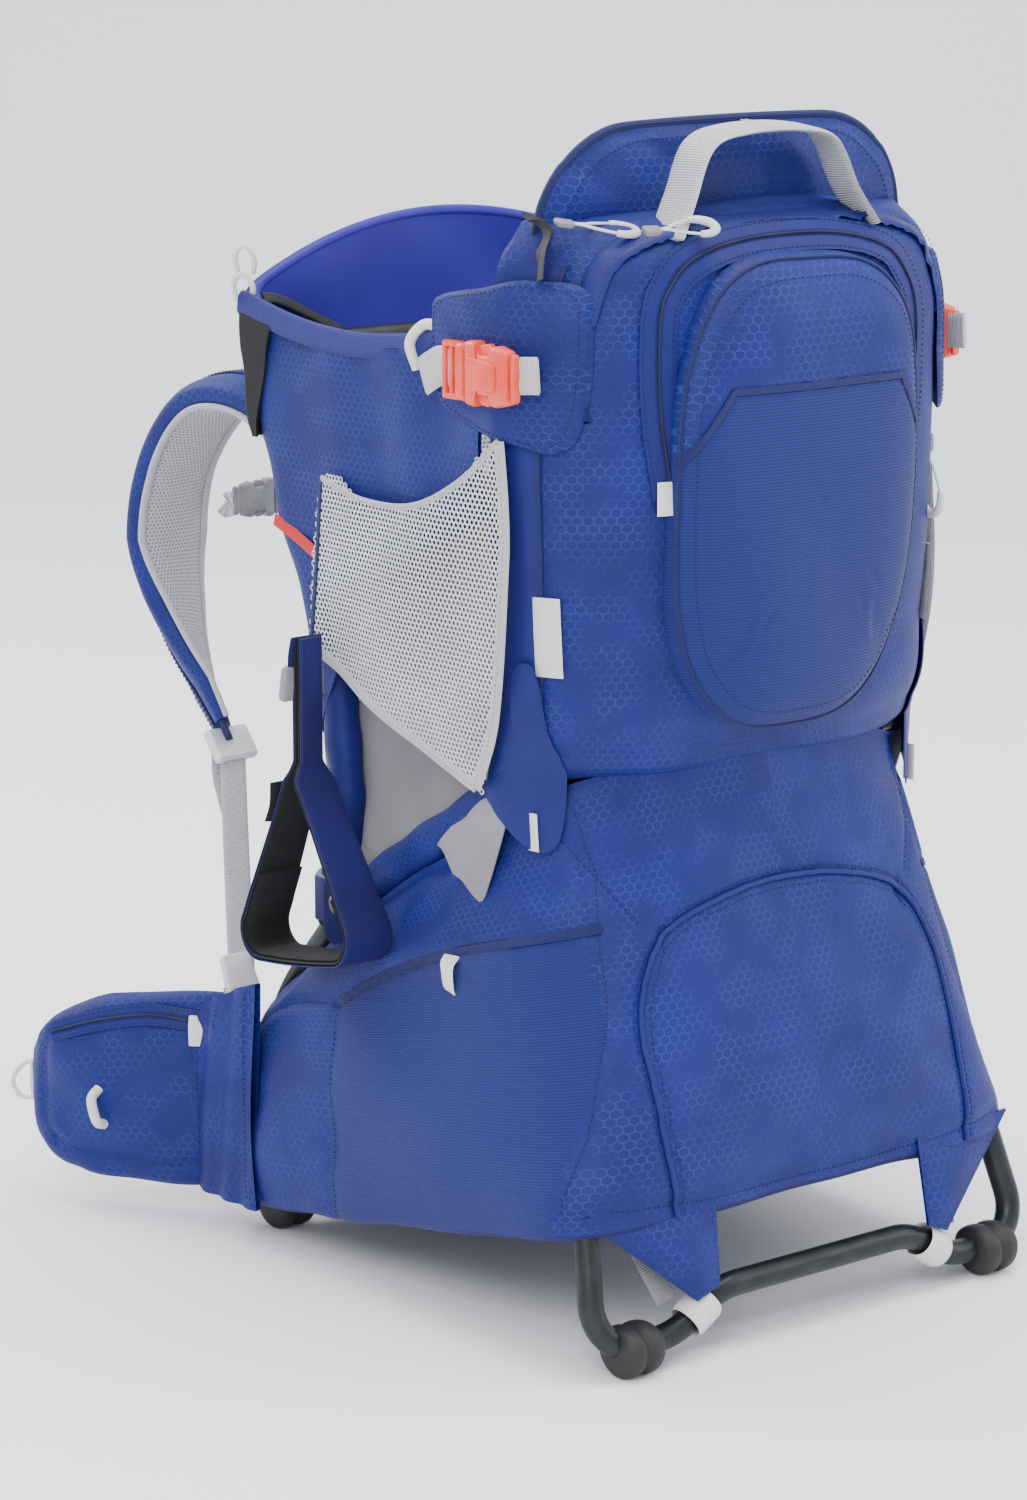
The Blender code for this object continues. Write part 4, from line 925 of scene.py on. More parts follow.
def makeUpperPack():
    grid, ring = upperPackGrid()
    tree = meshTree(grid)
    seams = [drawn(tree, sideSeam, -0.3, 0, (1, 0, 0)), drawn(tree, sideSeam, 0.3, 0, (-1, 0, 0))]
    zipOn = drawn(tree, zipLine, -0.4, 1, (0, 1, 0))
    lid = [(-0.150, 0.668), (-0.120, 0.682), (-0.07, 0.690), (0.0, 0.693), (0.07, 0.690), (0.120, 0.682),
           (0.150, 0.668)]
    lidOn = drawn(tree, [(x, -0.122 + 0.25 * x * x) for x, z in lid], 1.0, 2, (0, 0, -1))
    onSeam = nearSeams([s[0] for s in seams] + [lidOn[0]], 0.004)

    def held(p):
        # the seams, the front edge and the field under the rear pocket keep their place
        field = (abs(p[:, 0]) < 0.106) & (p[:, 1] < -0.09) & (p[:, 2] < 0.670)
        return onSeam(p) | (p[:, 1] > packFront - 0.004) | field

    grid = puff(grid, held, cap=0.007)
    grid = creased(grid, [s[0] for s in seams] + [lidOn[0]], seed=3)

    def choose(centre):
        # plain cloth in front of the side seams, embossed cloth behind them and round the rear
        seamY = np.interp(centre[:, 2], [z for y, z in reversed(sideSeam)],
                          [y for y, z in reversed(sideSeam)])
        return ((centre[:, 1] > seamY) & (abs(centre[:, 0]) > 0.1) & (centre[:, 2] < 0.655)).astype(int)

    pack = addPiece("upperPackShell", (grid, ringUV(grid, ring)), [ripstop, plainNylon], "carrier",
                    slot="fabric_blue", stands=["upper_pack"], choose=choose)
    tree = treeOf(pack)
    rows = []
    for k, (line, normals) in enumerate(seams):
        line, normals = layOn(tree, line, (1, 0, 0) if k == 0 else (-1, 0, 0), 0.0004)
        piping("packSidePiping_" + ("left", "right")[k], line, normals, 0.0011, blueBinding, "carrier")
        rows.append((line + (0, 0.005, 0), normals))
    line, normals = layOn(tree, lidOn[0], (0, 0, -1), 0.0004)
    tape("lidBand", line, normals, 0.017, 0.003, plainNylon, "carrier")
    rows += [(line + (0, 0.0075, 0.0026), normals), (line - (0, 0.0075, -0.0026), normals)]
    stitches("packStitching", rows, threadDark, "carrier")
    line, normals = layOn(tree, zipOn[0], (0, 1, 0), 0.0006)
    coilZip("pocketZip", line, normals, "carrier")
    # white tabs close the ends of the zip
    for s, k in ((-1, 0), (1, -1)):
        end = line[k] + normals[k] * 0.0022
        path = evenly(np.array([end + (0, 0, 0.010), end - (0, 0, 0.010)]), 0.002)
        webbing("zipEndTab_" + ("left" if s < 0 else "right"), path, 0.020, 0.0014,
                unit(np.cross(normals[k], (0, 0, 1))),
                whiteTape, "carrier")
    return tree


packTree = makeUpperPack()

# the raised rear pocket: rings from its rim to its middle, on a superellipse outline, standing off the
# pack by depth * sqrt(1 - r^6), fuller low down
pocket = dict(half=0.0965, bottom=0.370, top=0.660, depth=0.0225, power=3.1, rings=62, around=240,
              sag=0.006)
pocketSeam = [(-0.0945, 0.541), (-0.066, 0.583), (0.066, 0.583), (0.0945, 0.541)]


def pocketGrid():
    q = pocket
    angle = np.linspace(0, 2 * math.pi, q["around"] + 1)
    c, s = np.cos(angle), np.sin(angle)
    edgeX = q["half"] * np.sign(c) * abs(c) ** (2 / q["power"])
    middle, tall = (q["bottom"] + q["top"]) / 2, (q["top"] - q["bottom"]) / 2
    edgeZ = tall * np.sign(s) * abs(s) ** (2 / q["power"])
    edgeX *= 1 - 0.10 * np.clip(-edgeZ / tall, 0, 1) ** 2
    share = (1 - np.linspace(0, 1, q["rings"]) ** 1.6)[:, None]
    x, z = share * edgeX, middle + share * edgeZ
    drop = np.clip((middle - z) / tall, 0, 1)
    stand = q["depth"] * np.sqrt(1 - share ** 6) * (1 + 0 * x) + q["sag"] * drop * (1 - share ** 3)
    grid = np.stack([x, packRearAt(x, z) - stand - 0.0005, z], -1)
    return grid


def makePocket():
    grid = pocketGrid()
    tree = meshTree(grid)
    seam = layOn(tree, evenly(line3(pocketSeam, -0.4, 1), 0.003), (0, 1, 0))
    onSeam = nearSeams([seam[0], grid[0], grid[6]], 0.004)
    grid = puff(grid, onSeam, pressure=4.0, cap=0.008, step=3)
    grid = creased(grid, [seam[0]], depth=0.0013, width=0.003, waves=0.0012, seed=5)
    back = packRearAt(grid[:1, :, 0], grid[:1, :, 2]) + 0.004
    base = np.stack([grid[:1, :, 0], back, grid[:1, :, 2]], -1)
    middle = base * 0 + base[0, :-1].mean(0)
    grid = np.concatenate([middle, base, grid])
    uv = grid[..., [0, 2]].copy()

    def choose(centre):
        # the stretch panel lies below the seam, and a plain corner above its slanting ends
        seamZ = np.interp(abs(centre[:, 0]), (0, 0.066, 0.0945), (0.583, 0.583, 0.541))
        return (centre[:, 2] < seamZ).astype(int)

    made = addPiece("rearPocketShell", (grid, uv), [ripstop, stretchCloth], "carrier", slot="fabric_blue",
                    stands=["rear_pocket"], choose=choose)
    tree = treeOf(made)
    line, normals = layOn(tree, seam[0], (0, 1, 0), 0.0003)
    tape("pocketHem", line, normals, 0.0045, 0.0014, blueBinding, "carrier")
    rim = grid[8, :-1]
    line, normals = layOn(tree, evenly(shut(rim), 0.003, closed=True), (0, 1, 0), 0.0003)
    piping("pocketRimPiping", line, normals, 0.0012, blueBinding, "carrier", closed=True)
    inner = grid[16, :-1]
    inner = evenly(shut(inner), 0.003)
    stitches("pocketStitching", [layOn(tree, inner, (0, 1, 0), 0.0003)], threadDark, "carrier")


makePocket()
print("upper pack made")


# sections from the bottom hem to the waist, each ruled from a rear point to a front point: rear depth,
# rear height, front depth, front height, half width at the rear and at the front
lowerRows = np.array([
    (-0.158, 0.086, 0.178, 0.016, 0.176, 0.174), (-0.174, 0.088, 0.195, 0.021, 0.189, 0.188),
    (-0.177, 0.106, 0.199, 0.046, 0.191, 0.191), (-0.171, 0.150, 0.199, 0.090, 0.186, 0.190),
    (-0.156, 0.208, 0.192, 0.134, 0.177, 0.184), (-0.140, 0.262, 0.176, 0.166, 0.167, 0.176),
    (-0.128, 0.305, 0.150, 0.190, 0.160, 0.169), (-0.121, 0.360, 0.122, 0.210, 0.157, 0.163)])
lowerPack = dict(step=0.0030, centre=0.45, frontPower=9.0, around=300, crown=0.008)
archLine = [(-0.112, 0.084), (-0.121, 0.150), (-0.120, 0.212), (-0.098, 0.254), (-0.052, 0.272),
            (0.000, 0.277),
            (0.052, 0.272), (0.098, 0.254), (0.120, 0.212), (0.126, 0.150), (0.128, 0.092)]
sidePocketTop = [(0.080, 0.178), (0.040, 0.203), (-0.010, 0.226), (-0.060, 0.243), (-0.125, 0.262)]
sidePocketFront = [(0.080, 0.178), (0.074, 0.130), (0.066, 0.085), (0.066, 0.034)]
frontSeam = [(0.080, 0.178), (0.128, 0.168), (0.160, 0.150), (0.178, 0.122), (0.186, 0.080)]


def lowerSection(power):
    # unit section: depth 0 at the rear and 1 at the front, half width 1, rounder at the rear
    q = lowerPack
    angle = np.linspace(0, 2 * math.pi, 1400)
    c, s = np.cos(angle - math.pi / 2), np.sin(angle - math.pi / 2)
    n = np.where(s < 0, power, q["frontPower"])
    x = np.sign(c) * abs(c) ** (2 / n)
    y = q["centre"] + np.where(s < 0, q["centre"], 1 - q["centre"]) * np.sign(s) * abs(s) ** (2 / n)
    run = np.concatenate([[0], np.cumsum(np.hypot(np.diff(x), np.diff(y) * 1.1))])
    at = np.linspace(0, run[-1], q["around"] + 1)
    return np.stack([np.interp(at, run, x), np.interp(at, run, y)], 1)


# the rear corner's roundness n: the least n with |x/a|^n + |y/b|^n <= 1 at a point just outside the
# kickstand's leg, where the leg crosses the section, so that the cloth lies over the leg
def cornerPower(row):
    legX, legTop, legFoot = frameX - 2 * tubeR - 0.008, (hoopY - 0.004, waistZ - 0.0145), (-footY, footZ)
    slope = (row[3] - row[1]) / (row[2] - row[0])
    fall = (legFoot[1] - legTop[1]) - slope * (legFoot[0] - legTop[0])
    t = np.clip((row[1] + slope * (legTop[0] - row[0]) - legTop[1]) / fall, 0, 1)
    x = legX + 0.050 * t + (tubeR + 0.004) * 0.76
    y = legTop[0] + (legFoot[0] - legTop[0]) * t - (tubeR + 0.004) * 0.64
    middle = row[0] + (row[2] - row[0]) * lowerPack["centre"]
    powers = np.arange(2.4, 8.0, 0.05)
    inside = np.clip(x / row[4], 0, 1) ** powers + np.clip((middle - y) / (middle - row[0]), 0,
                                                           1) ** powers <= 1
    return powers[np.argmax(inside)] if inside.any() else powers[-1]


def lowerPackGrid():
    q = lowerPack
    run = runOf(lowerRows[:, :2])
    rows = easeThrough(run, lowerRows, np.arange(0, run[-1], q["step"]))
    powers = np.array([cornerPower(row) for row in rows])
    powers = np.convolve(np.pad(powers, 6, mode="edge"), np.ones(13) / 13, mode="valid")
    share = np.array([lowerSection(power) for power in powers])
    shareX, shareY = share[..., 0], share[..., 1]
    part = (rows[:, 1:2] - rows[0, 1]) / (rows[-1, 1] - rows[0, 1])
    y = rows[:, 0:1] + (rows[:, 2:3] - rows[:, 0:1]) * shareY
    z = rows[:, 1:2] + (rows[:, 3:4] - rows[:, 1:2]) * shareY
    x = shareX * (rows[:, 4:5] + (rows[:, 5:6] - rows[:, 4:5]) * shareY)
    bulge = np.clip(1 - shareX ** 2, 0, 1) * np.clip(1 - shareY * 4, 0,
                                                     1) ** 2 * np.sin(np.pi * np.clip(part, 0, 1)) ** 0.7
    y = y - q["crown"] * bulge
    grid = np.stack([x, y, z], -1)
    middle = grid.mean(1, keepdims=True)
    dome = np.linspace(1, 0, 18)[1:, None, None]
    under = (middle[:1] + (grid[:1] - middle[:1]) * dome + (0, 0, 0.012) * (1 - dome))[::-1]
    over = middle[-1:] + (grid[-1:] - middle[-1:]) * dome + (0, 0, 0.004) * (1 - dome)
    ring = np.stack([share[0, :, 0] * rows[0, 4], share[0, :, 1] * (rows[0, 2] - rows[0, 0])], 1)
    return np.concatenate([under, grid, over]), ring


foldSpan = ((0, 0.130 + midY, 0.12), (0, -0.150 + midY, 0.12))


def makeLowerPack():
    grid, ring = lowerPackGrid()
    tree = meshTree(grid)
    arch = drawn(tree, archLine, -0.4, 1, (0, 1, 0))
    waistDarts = [drawn(tree, [(x * 0.155, 0.345), (x * 0.140, 0.315), (x * 0.108, 0.262)], -0.4, 1,
                        (0, 1, 0))
                  for x in (-1, 1)]
    hem = drawn(tree, [(-0.160, 0.102), (-0.08, 0.098), (0, 0.097), (0.08, 0.098), (0.160, 0.102)], -0.4, 1,
                (0, 1, 0))
    sides = []
    for s in (-1, 1):
        for curve in (frontSeam, sidePocketFront, sidePocketTop,
                      [(-0.149, 0.100), (-0.150, 0.150), (-0.142, 0.205), (-0.124, 0.262),
                       (-0.100, 0.330)]):
            sides.append(drawn(tree, curve, s * 0.4, 0, (-s, 0, 0)))
    onSeam = nearSeams([arch[0], hem[0]] + [s[0] for s in sides], 0.004)

    def held(p):
        # the seams, the underside and the waist keep their place
        return onSeam(p) | (p[:, 2] < 0.088 - (p[:, 1] + 0.158) * 0.21) | (p[:, 2] > 0.340)

    grid = puff(grid, held, cap=0.009)
    grid = creased(grid, [arch[0], hem[0]] + [d[0] for d in waistDarts] + [s[0] for s in sides],
                   depth=0.0020,
                   width=0.004, waves=0.0013, size=0.09, seed=8)

    def choose(centre):
        x, y, z = centre.T
        onSide = abs(x) > 0.14
        topLine = np.interp(y, [p[0] for p in reversed(sidePocketTop)],
                            [p[1] for p in reversed(sidePocketTop)])
        stretch = onSide & (y < 0.071) & (y > -0.146) & (z < topLine)
        under = z < 0.088 - (y + 0.158) * 0.21
        return np.where(under, 2, np.where(stretch, 1, 0))

    pack = addPiece("lowerPackShell", (grid, ringUV(grid, ring)), [ripstop, sideStretch, darkNylon],
                    "carrier",
                    slot="fabric_blue", stands=["lower_pack"], choose=choose,
                    blend=("kickstand",) + foldSpan)
    tree = treeOf(pack)
    folding = ("kickstand",) + foldSpan
    line, normals = layOn(tree, arch[0], (0, 1, 0), 0.0003)
    piping("archZipFlap", line, normals, 0.0020, plainNylon, "carrier", blend=folding)
    rows = []
    for offset in (0.006, -0.0045):
        across = unit(np.cross(tangents(line), normals))
        rows.append(layOn(tree, line + across * offset, (0, 1, 0), 0.0003))
    for d in waistDarts + [hem]:
        rows.append(layOn(tree, d[0], (0, 1, 0), 0.0003))
    k = 0
    for s in (-1, 1):
        for n in range(4):
            rows.append(layOn(tree, sides[k][0], (-s, 0, 0), 0.0003))
            if n == 2:
                line, normals = rows[-1]
                tape("sidePocketHem_" + ("left" if s < 0 else "right"), line, normals, 0.006, 0.0016,
                     blueBinding,
                     "carrier", blend=folding)
            k += 1
    stitches("lowerPackStitching", rows, threadDark, "carrier", blend=folding)
    for side, s in bothSides:
        # pale loop tab in the middle of the side pocket's hem
        spot, normal = layOn(tree, [(s * 0.4, -0.037, 0.229)], (-s, 0, 0))
        spot, out = spot[0], normal[0]
        path = smoothPath([spot + (0, 0.004, 0.004), spot + out * 0.006 + (0, 0.001, -0.004),
                           spot + out * 0.006 + (0, -0.001, -0.017),
                           spot + out * 0.001 + (0, -0.002, -0.020)], 0.002)
        webbing("sidePocketTab_" + side, path, 0.011, 0.0018, (0, 1, 0.3), whiteTape, "carrier",
                blend=folding)
        # triangular flap from the rear corner of the hem to the webbing round the ground bar
        barX = s * (0.080 + footX - 0.034) / 2
        barZ = footZ + 0.011
        top = np.array([(s * 0.176, -0.164, 0.100), (s * 0.084, -0.1775, 0.102)])
        point = np.array([(barX + s * 0.007, -footY - 0.009, barZ + 0.010),
                          (barX - s * 0.010, -footY - 0.010, barZ + 0.017)])
        v = np.linspace(0, 1, 26)[:, None, None]
        u = np.linspace(0, 1, 22)[None, :, None]
        edge = top[0] + (top[1] - top[0]) * u
        tip = point[0] + (point[1] - point[0]) * u
        face = edge + (tip - edge) * v ** 0.85
        face = face + np.array([0, -0.006, 0]) * np.sin(math.pi * v) * np.sin(math.pi * u)
        inner = face + (0, 0.0022, 0)
        shell = np.concatenate([inner[:1], face, inner[::-1]])
        uv = shell[..., [0, 2]]
        addPiece("standFlap_" + side, (shell, uv), ripstop, "kickstand", slot="fabric_blue")
        edges = [(face[3:-1, 1], 0), (face[3:-1, -2], 0), (face[-2, 1:-1], 0)]
        stitches("standFlapStitching_" + side, [(e, np.broadcast_to((0, -1.0, 0.1), e.shape)) for e,
                                                _ in edges],
                 threadDark, "kickstand")
        # webbing wrapped round the bar
        run = unit(np.array([s * (footX - 0.034 - 0.080), 0, -0.022]))
        rise = np.cross(run, (0, 1, 0))
        angle = np.linspace(0, 2 * math.pi, 40, endpoint=False)[:, None]
        middle = np.array([barX, -footY, footZ + 0.011])
        fore = np.array([0, 1, 0]) * (tubeR + 0.0028) * np.cos(angle)
        upward = rise * (tubeR + 0.0028) * np.sin(angle)
        loop = middle + fore + upward
        addPiece("standStrap_" + side, sweep(loop, softRect(0.021, 0.0024, 4, 16), run, closed=True),
                 whiteTape,
                 "kickstand", slot="webbing_pale", stands=["kickstand_strap_" + side])
        # grey webbing from inside the pack down to the rear bar, then a dark flap and pale webbing round the
        # front bar
        path = smoothPath([(s * 0.128, -0.138, 0.110), (s * 0.124, -0.152, 0.072),
                           (s * 0.116, -footY + 0.006, footZ + 0.020)], 0.003)
        webbing("standAnchor_" + side, path, 0.017, 0.002, (1, 0, 0), greyWebbing, "kickstand")
        top = np.array([(s * 0.150, 0.160, 0.026), (s * 0.085, 0.163, 0.026)])
        point = np.array([(s * 0.106, footY - 0.010, 0.026), (s * 0.086, footY - 0.010, 0.032)])
        edge, tip = top[0] + (top[1] - top[0]) * u, point[0] + (point[1] - point[0]) * u
        face = edge + (tip - edge) * v
        shell = np.concatenate([face[:1], face - (0, 0, 0.0012), (face + (0, 0, 0.0012))[::-1]])
        addPiece("frontFlap_" + side, (shell, shell[..., [0, 1]]), darkNylon, "carrier", slot="fabric_blue")
        middle = np.array([s * 0.095, footY, footZ + 0.011])
        loop = middle + fore + upward
        addPiece("frontStrap_" + side, sweep(loop, softRect(0.019, 0.0024, 4, 16), run, closed=True),
                 paleWebbing,
                 "carrier")


makeLowerPack()
print("lower pack made")


# a padded board: an outline of points shrunk towards its middle in rings, its two faces bowed apart by
# thick / 2 * (1 - r^p)^(1/2)
def paddedBoard(outline, place, thick, rings=26, power=5.0, border=0.0):
    share = 1 - np.linspace(0, 1, rings) ** 1.4
    middle = outline.mean(0)
    flat = middle + (shut(outline) - middle)[None] * share[:, None, None]
    rise = thick / 2 * np.sqrt(1 - share ** power)
    if border:
        rise = np.where(share > 1 - border, rise * 0.55, rise)
    front = place(flat, rise[:, None] + 0 * flat[..., 0])
    back = place(flat, -rise[:, None] + 0 * flat[..., 0])
    return np.concatenate([back[::-1], front[1:]]), np.concatenate([flat[::-1], flat[1:]])


headrest = dict(half=0.146, drop=0.028, corner=0.066, thick=0.030, lean=0.010, swell=0.0025)


def makeHeadrest():
    half, bottom = headrest["half"], rimZ - headrest["drop"]
    corners = [(-half + 0.004, bottom, 0), (half - 0.004, bottom, 0), (half, topZ, 0), (-half, topZ, 0)]
    outline = roundedPath(corners, [0.012, 0.012] + [headrest["corner"]] * 2, 0.0035, closed=True)[:, :2]
    outline[:, 1] += np.where(outline[:, 1] > topZ - 0.02,
                              0.004 * (1 - (outline[:, 0] / half) ** 2) - 0.002, 0)
    y0 = hoopY + 0.0045

    def place(flat, rise):
        lean = -headrest["lean"] * np.clip((flat[..., 1] - rimZ) / 0.13, 0, 1)
        wave = slack(np.stack([flat[..., 0], flat[..., 1], 0 * rise], -1), 0.09, 0.0011, 4)
        return np.stack([flat[..., 0], y0 + lean + rise * (1 + 0 * wave) + np.where(rise == 0, 0, wave),
                         flat[..., 1]], -1)

    grid, uv = paddedBoard(outline, place, headrest["thick"], border=0.07)
    grid = puff(grid, lambda p: abs((p[:, 1] - y0) / 0.017) < 0.5, cap=headrest["swell"])
    made = addPiece("headrestPad", (grid, uv), ripstop, "carrier", slot="fabric_blue", stands=["headrest"])
    x, z = outline.T
    path = np.stack([x, y0 - headrest["lean"] * np.clip((z - rimZ) / 0.13, 0, 1), z], 1)
    cordTube("headrestBinding", evenly(shut(path), 0.004, closed=True), 0.0026, blueBinding, "carrier",
             closed=True, sides=10)
    tree = treeOf(made)
    inner = outline.mean(0) + (outline - outline.mean(0)) * 0.905
    rows = []
    for direction in (1, -1):
        seam = np.stack([inner[:, 0], inner[:, 0] * 0 - direction * 0.3, inner[:, 1]], 1)
        rows.append(layOn(tree, evenly(shut(seam), 0.003), (0, direction, 0), 0.0003))
    stitches("headrestStitching", rows, threadDark, "carrier")


handle = dict(width=0.029, thick=0.0034, tilt=0.10)


def makeHandle():
    box = low("grab_handle"), high("grab_handle")
    y, baseX, baseZ = (box[0][1] + box[1][1]) / 2 - midY, box[1][0], box[0][2]
    route = [(-baseX - 0.012, y - 0.006, baseZ - 0.002), (-baseX + 0.004, y, baseZ + 0.022),
             (-baseX + 0.020, y + 0.002, topZ - 0.010), (-0.022, y + 0.002, topZ - 0.002),
             (0.022, y + 0.002, topZ - 0.002),
             (baseX - 0.020, y + 0.002, topZ - 0.010), (baseX - 0.004, y, baseZ + 0.022),
             (baseX + 0.010, y - 0.006, baseZ - 0.002)]
    path = smoothPath(route, 0.0025)
    webbing("grabHandleWebbing", path, handle["width"], handle["thick"], (0, 1, handle["tilt"]),
            paleWebbing, "grab_handle", slot="webbing_pale",
            stands=["grab_handle"])
    # two bar tacks across the middle
    rows = []
    for x in (-0.006, -0.0025):
        bar = evenly(np.array([(x, y - 0.0125, topZ + 0.0004), (x, y + 0.0145, topZ + 0.0022)]), 0.002)
        rows.append((bar, np.broadcast_to((0, 0, 1.0), bar.shape)))
    stitches("handleTacks", rows, whiteTape, "grab_handle", pitch=0.0016, size=(0.0008, 0.0007, 0.0005))


makeHeadrest()
makeHandle()
print("headrest and handle made")


# the cockpit: its sides, rim and front wall
wallX = high("cockpit_wall")[0] - 0.0020
wallTop = high("cockpit_wall")[2]


def cockpitRim(y):
    # the rim dips from the front corner to its lowest place and rises again to the pack
    return easeThrough([-0.06, 0.0, 0.076, 0.130, 0.190],
                       [rimZ + 0.016, rimZ + 0.006, rimZ, rimZ + 0.004, rimZ + 0.016],
                       np.clip(y, -0.06, 0.19))


def closedSheet(face, thick):
    # a sheet given its thickness along its own normals and closed round its edge
    normals = gridNormals(face)
    return np.concatenate([face[:1], face + normals * thick / 2, (face - normals * thick / 2)[::-1],
                           face[:1]])


cockpit = dict(cloth=0.0026, wedge=0.0016, frontPad=0.0075, rimThick=0.0078, rimTall=0.016, rear=-0.058)


def makeCockpit():
    for side, s in bothSides:
        v, u = spread(64, 84)
        lowest = easeThrough([0, 0.35, 0.8, 1], [0.505, 0.470, 0.400, 0.345], u)
        frontY = frameDepth(np.linspace(0.345, 0.60, 64))[:, None] + 0.004
        rearY = cockpit["rear"]
        highest = cockpitRim(rearY + (0.184 - rearY) * u)
        z = lowest + (highest - lowest) * v
        y = rearY + (frameDepth(np.clip(z, 0.15, topBarZ)) + 0.0105 - rearY) * u
        wave = slack(np.stack([0 * y + s, y, z], -1), 0.085, 0.0016, 11)
        wrap = np.clip((u - 0.93) / 0.07, 0, 1)
        x = s * (wallX + wave - 0.005 * wrap ** 2 - 0.004 * np.clip(1 - v * 5, 0, 1))
        face = np.stack([x + 0 * y, y, z], -1)
        shell = closedSheet(face, cockpit["cloth"])
        addPiece("cockpitSide_" + side, (shell, shell[..., [1, 2]]), [ripstopSmall], "carrier",
                 slot="fabric_blue", stands=["cockpit_wall"] if s < 0 else ())
        rim = np.linspace(-0.050, 0.186, 40)
        path = smoothPath(np.stack([0 * rim + s * wallX, rim, cockpitRim(rim) + 0.001], 1), 0.004)
        addPiece("rimBinding_" + side, sweep(path, softRect(cockpit["rimThick"], cockpit["rimTall"], 3.0,
                                                            20), (1, 0, 0)), rimBinding,
                 "carrier", slot="fabric_blue")
        line = path - (0, 0, 0.0105) + (s * 0.0016, 0, 0)
        rows = [(line, np.broadcast_to((s, 0, 0.0), line.shape))]
        stitches("rimStitching_" + side, rows, threadDark, "carrier")
        # black stretch wedge at the front corner: a triangle on the wall that wraps round the tube
        v, u = spread(44, 30)
        z = 0.528 + (rimZ + 0.012 - 0.528) * v + 0 * u
        reach = 0.004 + 0.032 * v ** 0.9
        frontY = frameDepth(z) + 0.0125
        y = frontY - reach + reach * np.clip(u / 0.72, 0, 1)
        around = np.clip((u - 0.72) / 0.28, 0, 1)
        x = s * (wallX + 0.0022 + 0.0008 * np.sin(v * 9) - 0.016 * around ** 1.5)
        face = np.stack([x + 0 * y, y + 0.002 * np.sin(around * math.pi), z], -1)
        shell = closedSheet(face, cockpit["wedge"])
        addPiece("stretchWedge_" + side, (shell, shell[..., [1, 2]]), blackBrushed, "carrier")
    # the front wall: a curved shield between the corners, its top an arc, bowed towards the wearer
    v, u = spread(54, 120, first=-1)
    bottom = topBarZ - 0.014
    topLine = rimZ + 0.014 + (wallTop - rimZ - 0.014) * np.cos(np.clip(abs(u), 0, 1) * math.pi / 2) ** 0.75
    z = bottom + (topLine - bottom) * v
    lean = np.clip((z - topBarZ) / 0.07, -1, 1)
    bow = 0.0115 * (1 - u ** 2) + 0.004
    y = 0.172 + 0.012 + bow + lean * 0.004
    corner = np.clip((abs(u) - 0.90) / 0.10, 0, 1)
    y = y - 0.020 * corner ** 2
    x = u * (wallX - 0.001)
    wave = slack(np.stack([x + 0 * z, 0 * y, z], -1), 0.12, 0.0016, 21)
    face = np.stack([x + 0 * z, y + wave, z], -1)
    shell = closedSheet(face, cockpit["frontPad"])
    made = addPiece("frontWall", (shell, shell[..., [0, 2]]), innerNylon, "carrier", slot="fabric_blue")
    topEdge = face[-1]
    path = evenly(topEdge, 0.004)
    cordTube("frontWallBinding", path, 0.0042, innerNylon, "carrier", sides=12)
    # padded bolster inside the front wall with a dark opening at its middle
    # black zip tape on each side, from the front wall's corner down towards its middle
    for side, s in bothSides:
        path = smoothPath([(s * 0.158, 0.178, rimZ + 0.019), (s * 0.140, 0.186, rimZ + 0.016),
                           (s * 0.112, 0.190, rimZ + 0.004),
                           (s * 0.088, 0.191, rimZ - 0.008)], 0.003)
        webbing("drawerZip_" + side, path, 0.007, 0.003, (0, 0.4, 1), blackTape, "carrier")


makeCockpit()
print("cockpit made")


# a net of hexagonal holes: each cell is a ring of six strips between the cell and its hole; cells
# whose middle lies outside the outline are left out, and the flat net is then bowed outwards
net = dict(pitch=0.0036, hole=0.66, bow=0.007, yarn=0.0006)
netOutline = [(0.096, 0.398), (0.108, 0.404), (0.094, 0.510), (0.050, 0.503), (0.000, 0.506),
              (-0.040, 0.522), (-0.078, 0.552),
              (-0.083, 0.480), (-0.080, 0.400), (-0.064, 0.346), (-0.058, 0.343), (0.010, 0.366)]


def insideOutline(points, outline):
    # a point is inside if a level ray from it crosses the outline an odd number of times
    x, y = points.T
    inside = np.zeros(len(points), bool)
    for (x0, y0), (x1, y1) in zip(outline, np.roll(outline, -1, 0)):
        crosses = (y0 > y) != (y1 > y)
        inside ^= crosses & (x < x0 + (y - y0) * (x1 - x0) / (y1 - y0 + 1e-12))
    return inside


def netBow(points, outline):
    middle = outline.mean(0)
    reach = np.linalg.norm((points - middle) / ((0.092, 0.105)), axis=-1)
    return net["bow"] * np.clip(1 - reach ** 2, 0, 1) + 0.0012 * np.sin(points[:, 0] * 62 + points[:, 1]
                                                                        * 31)


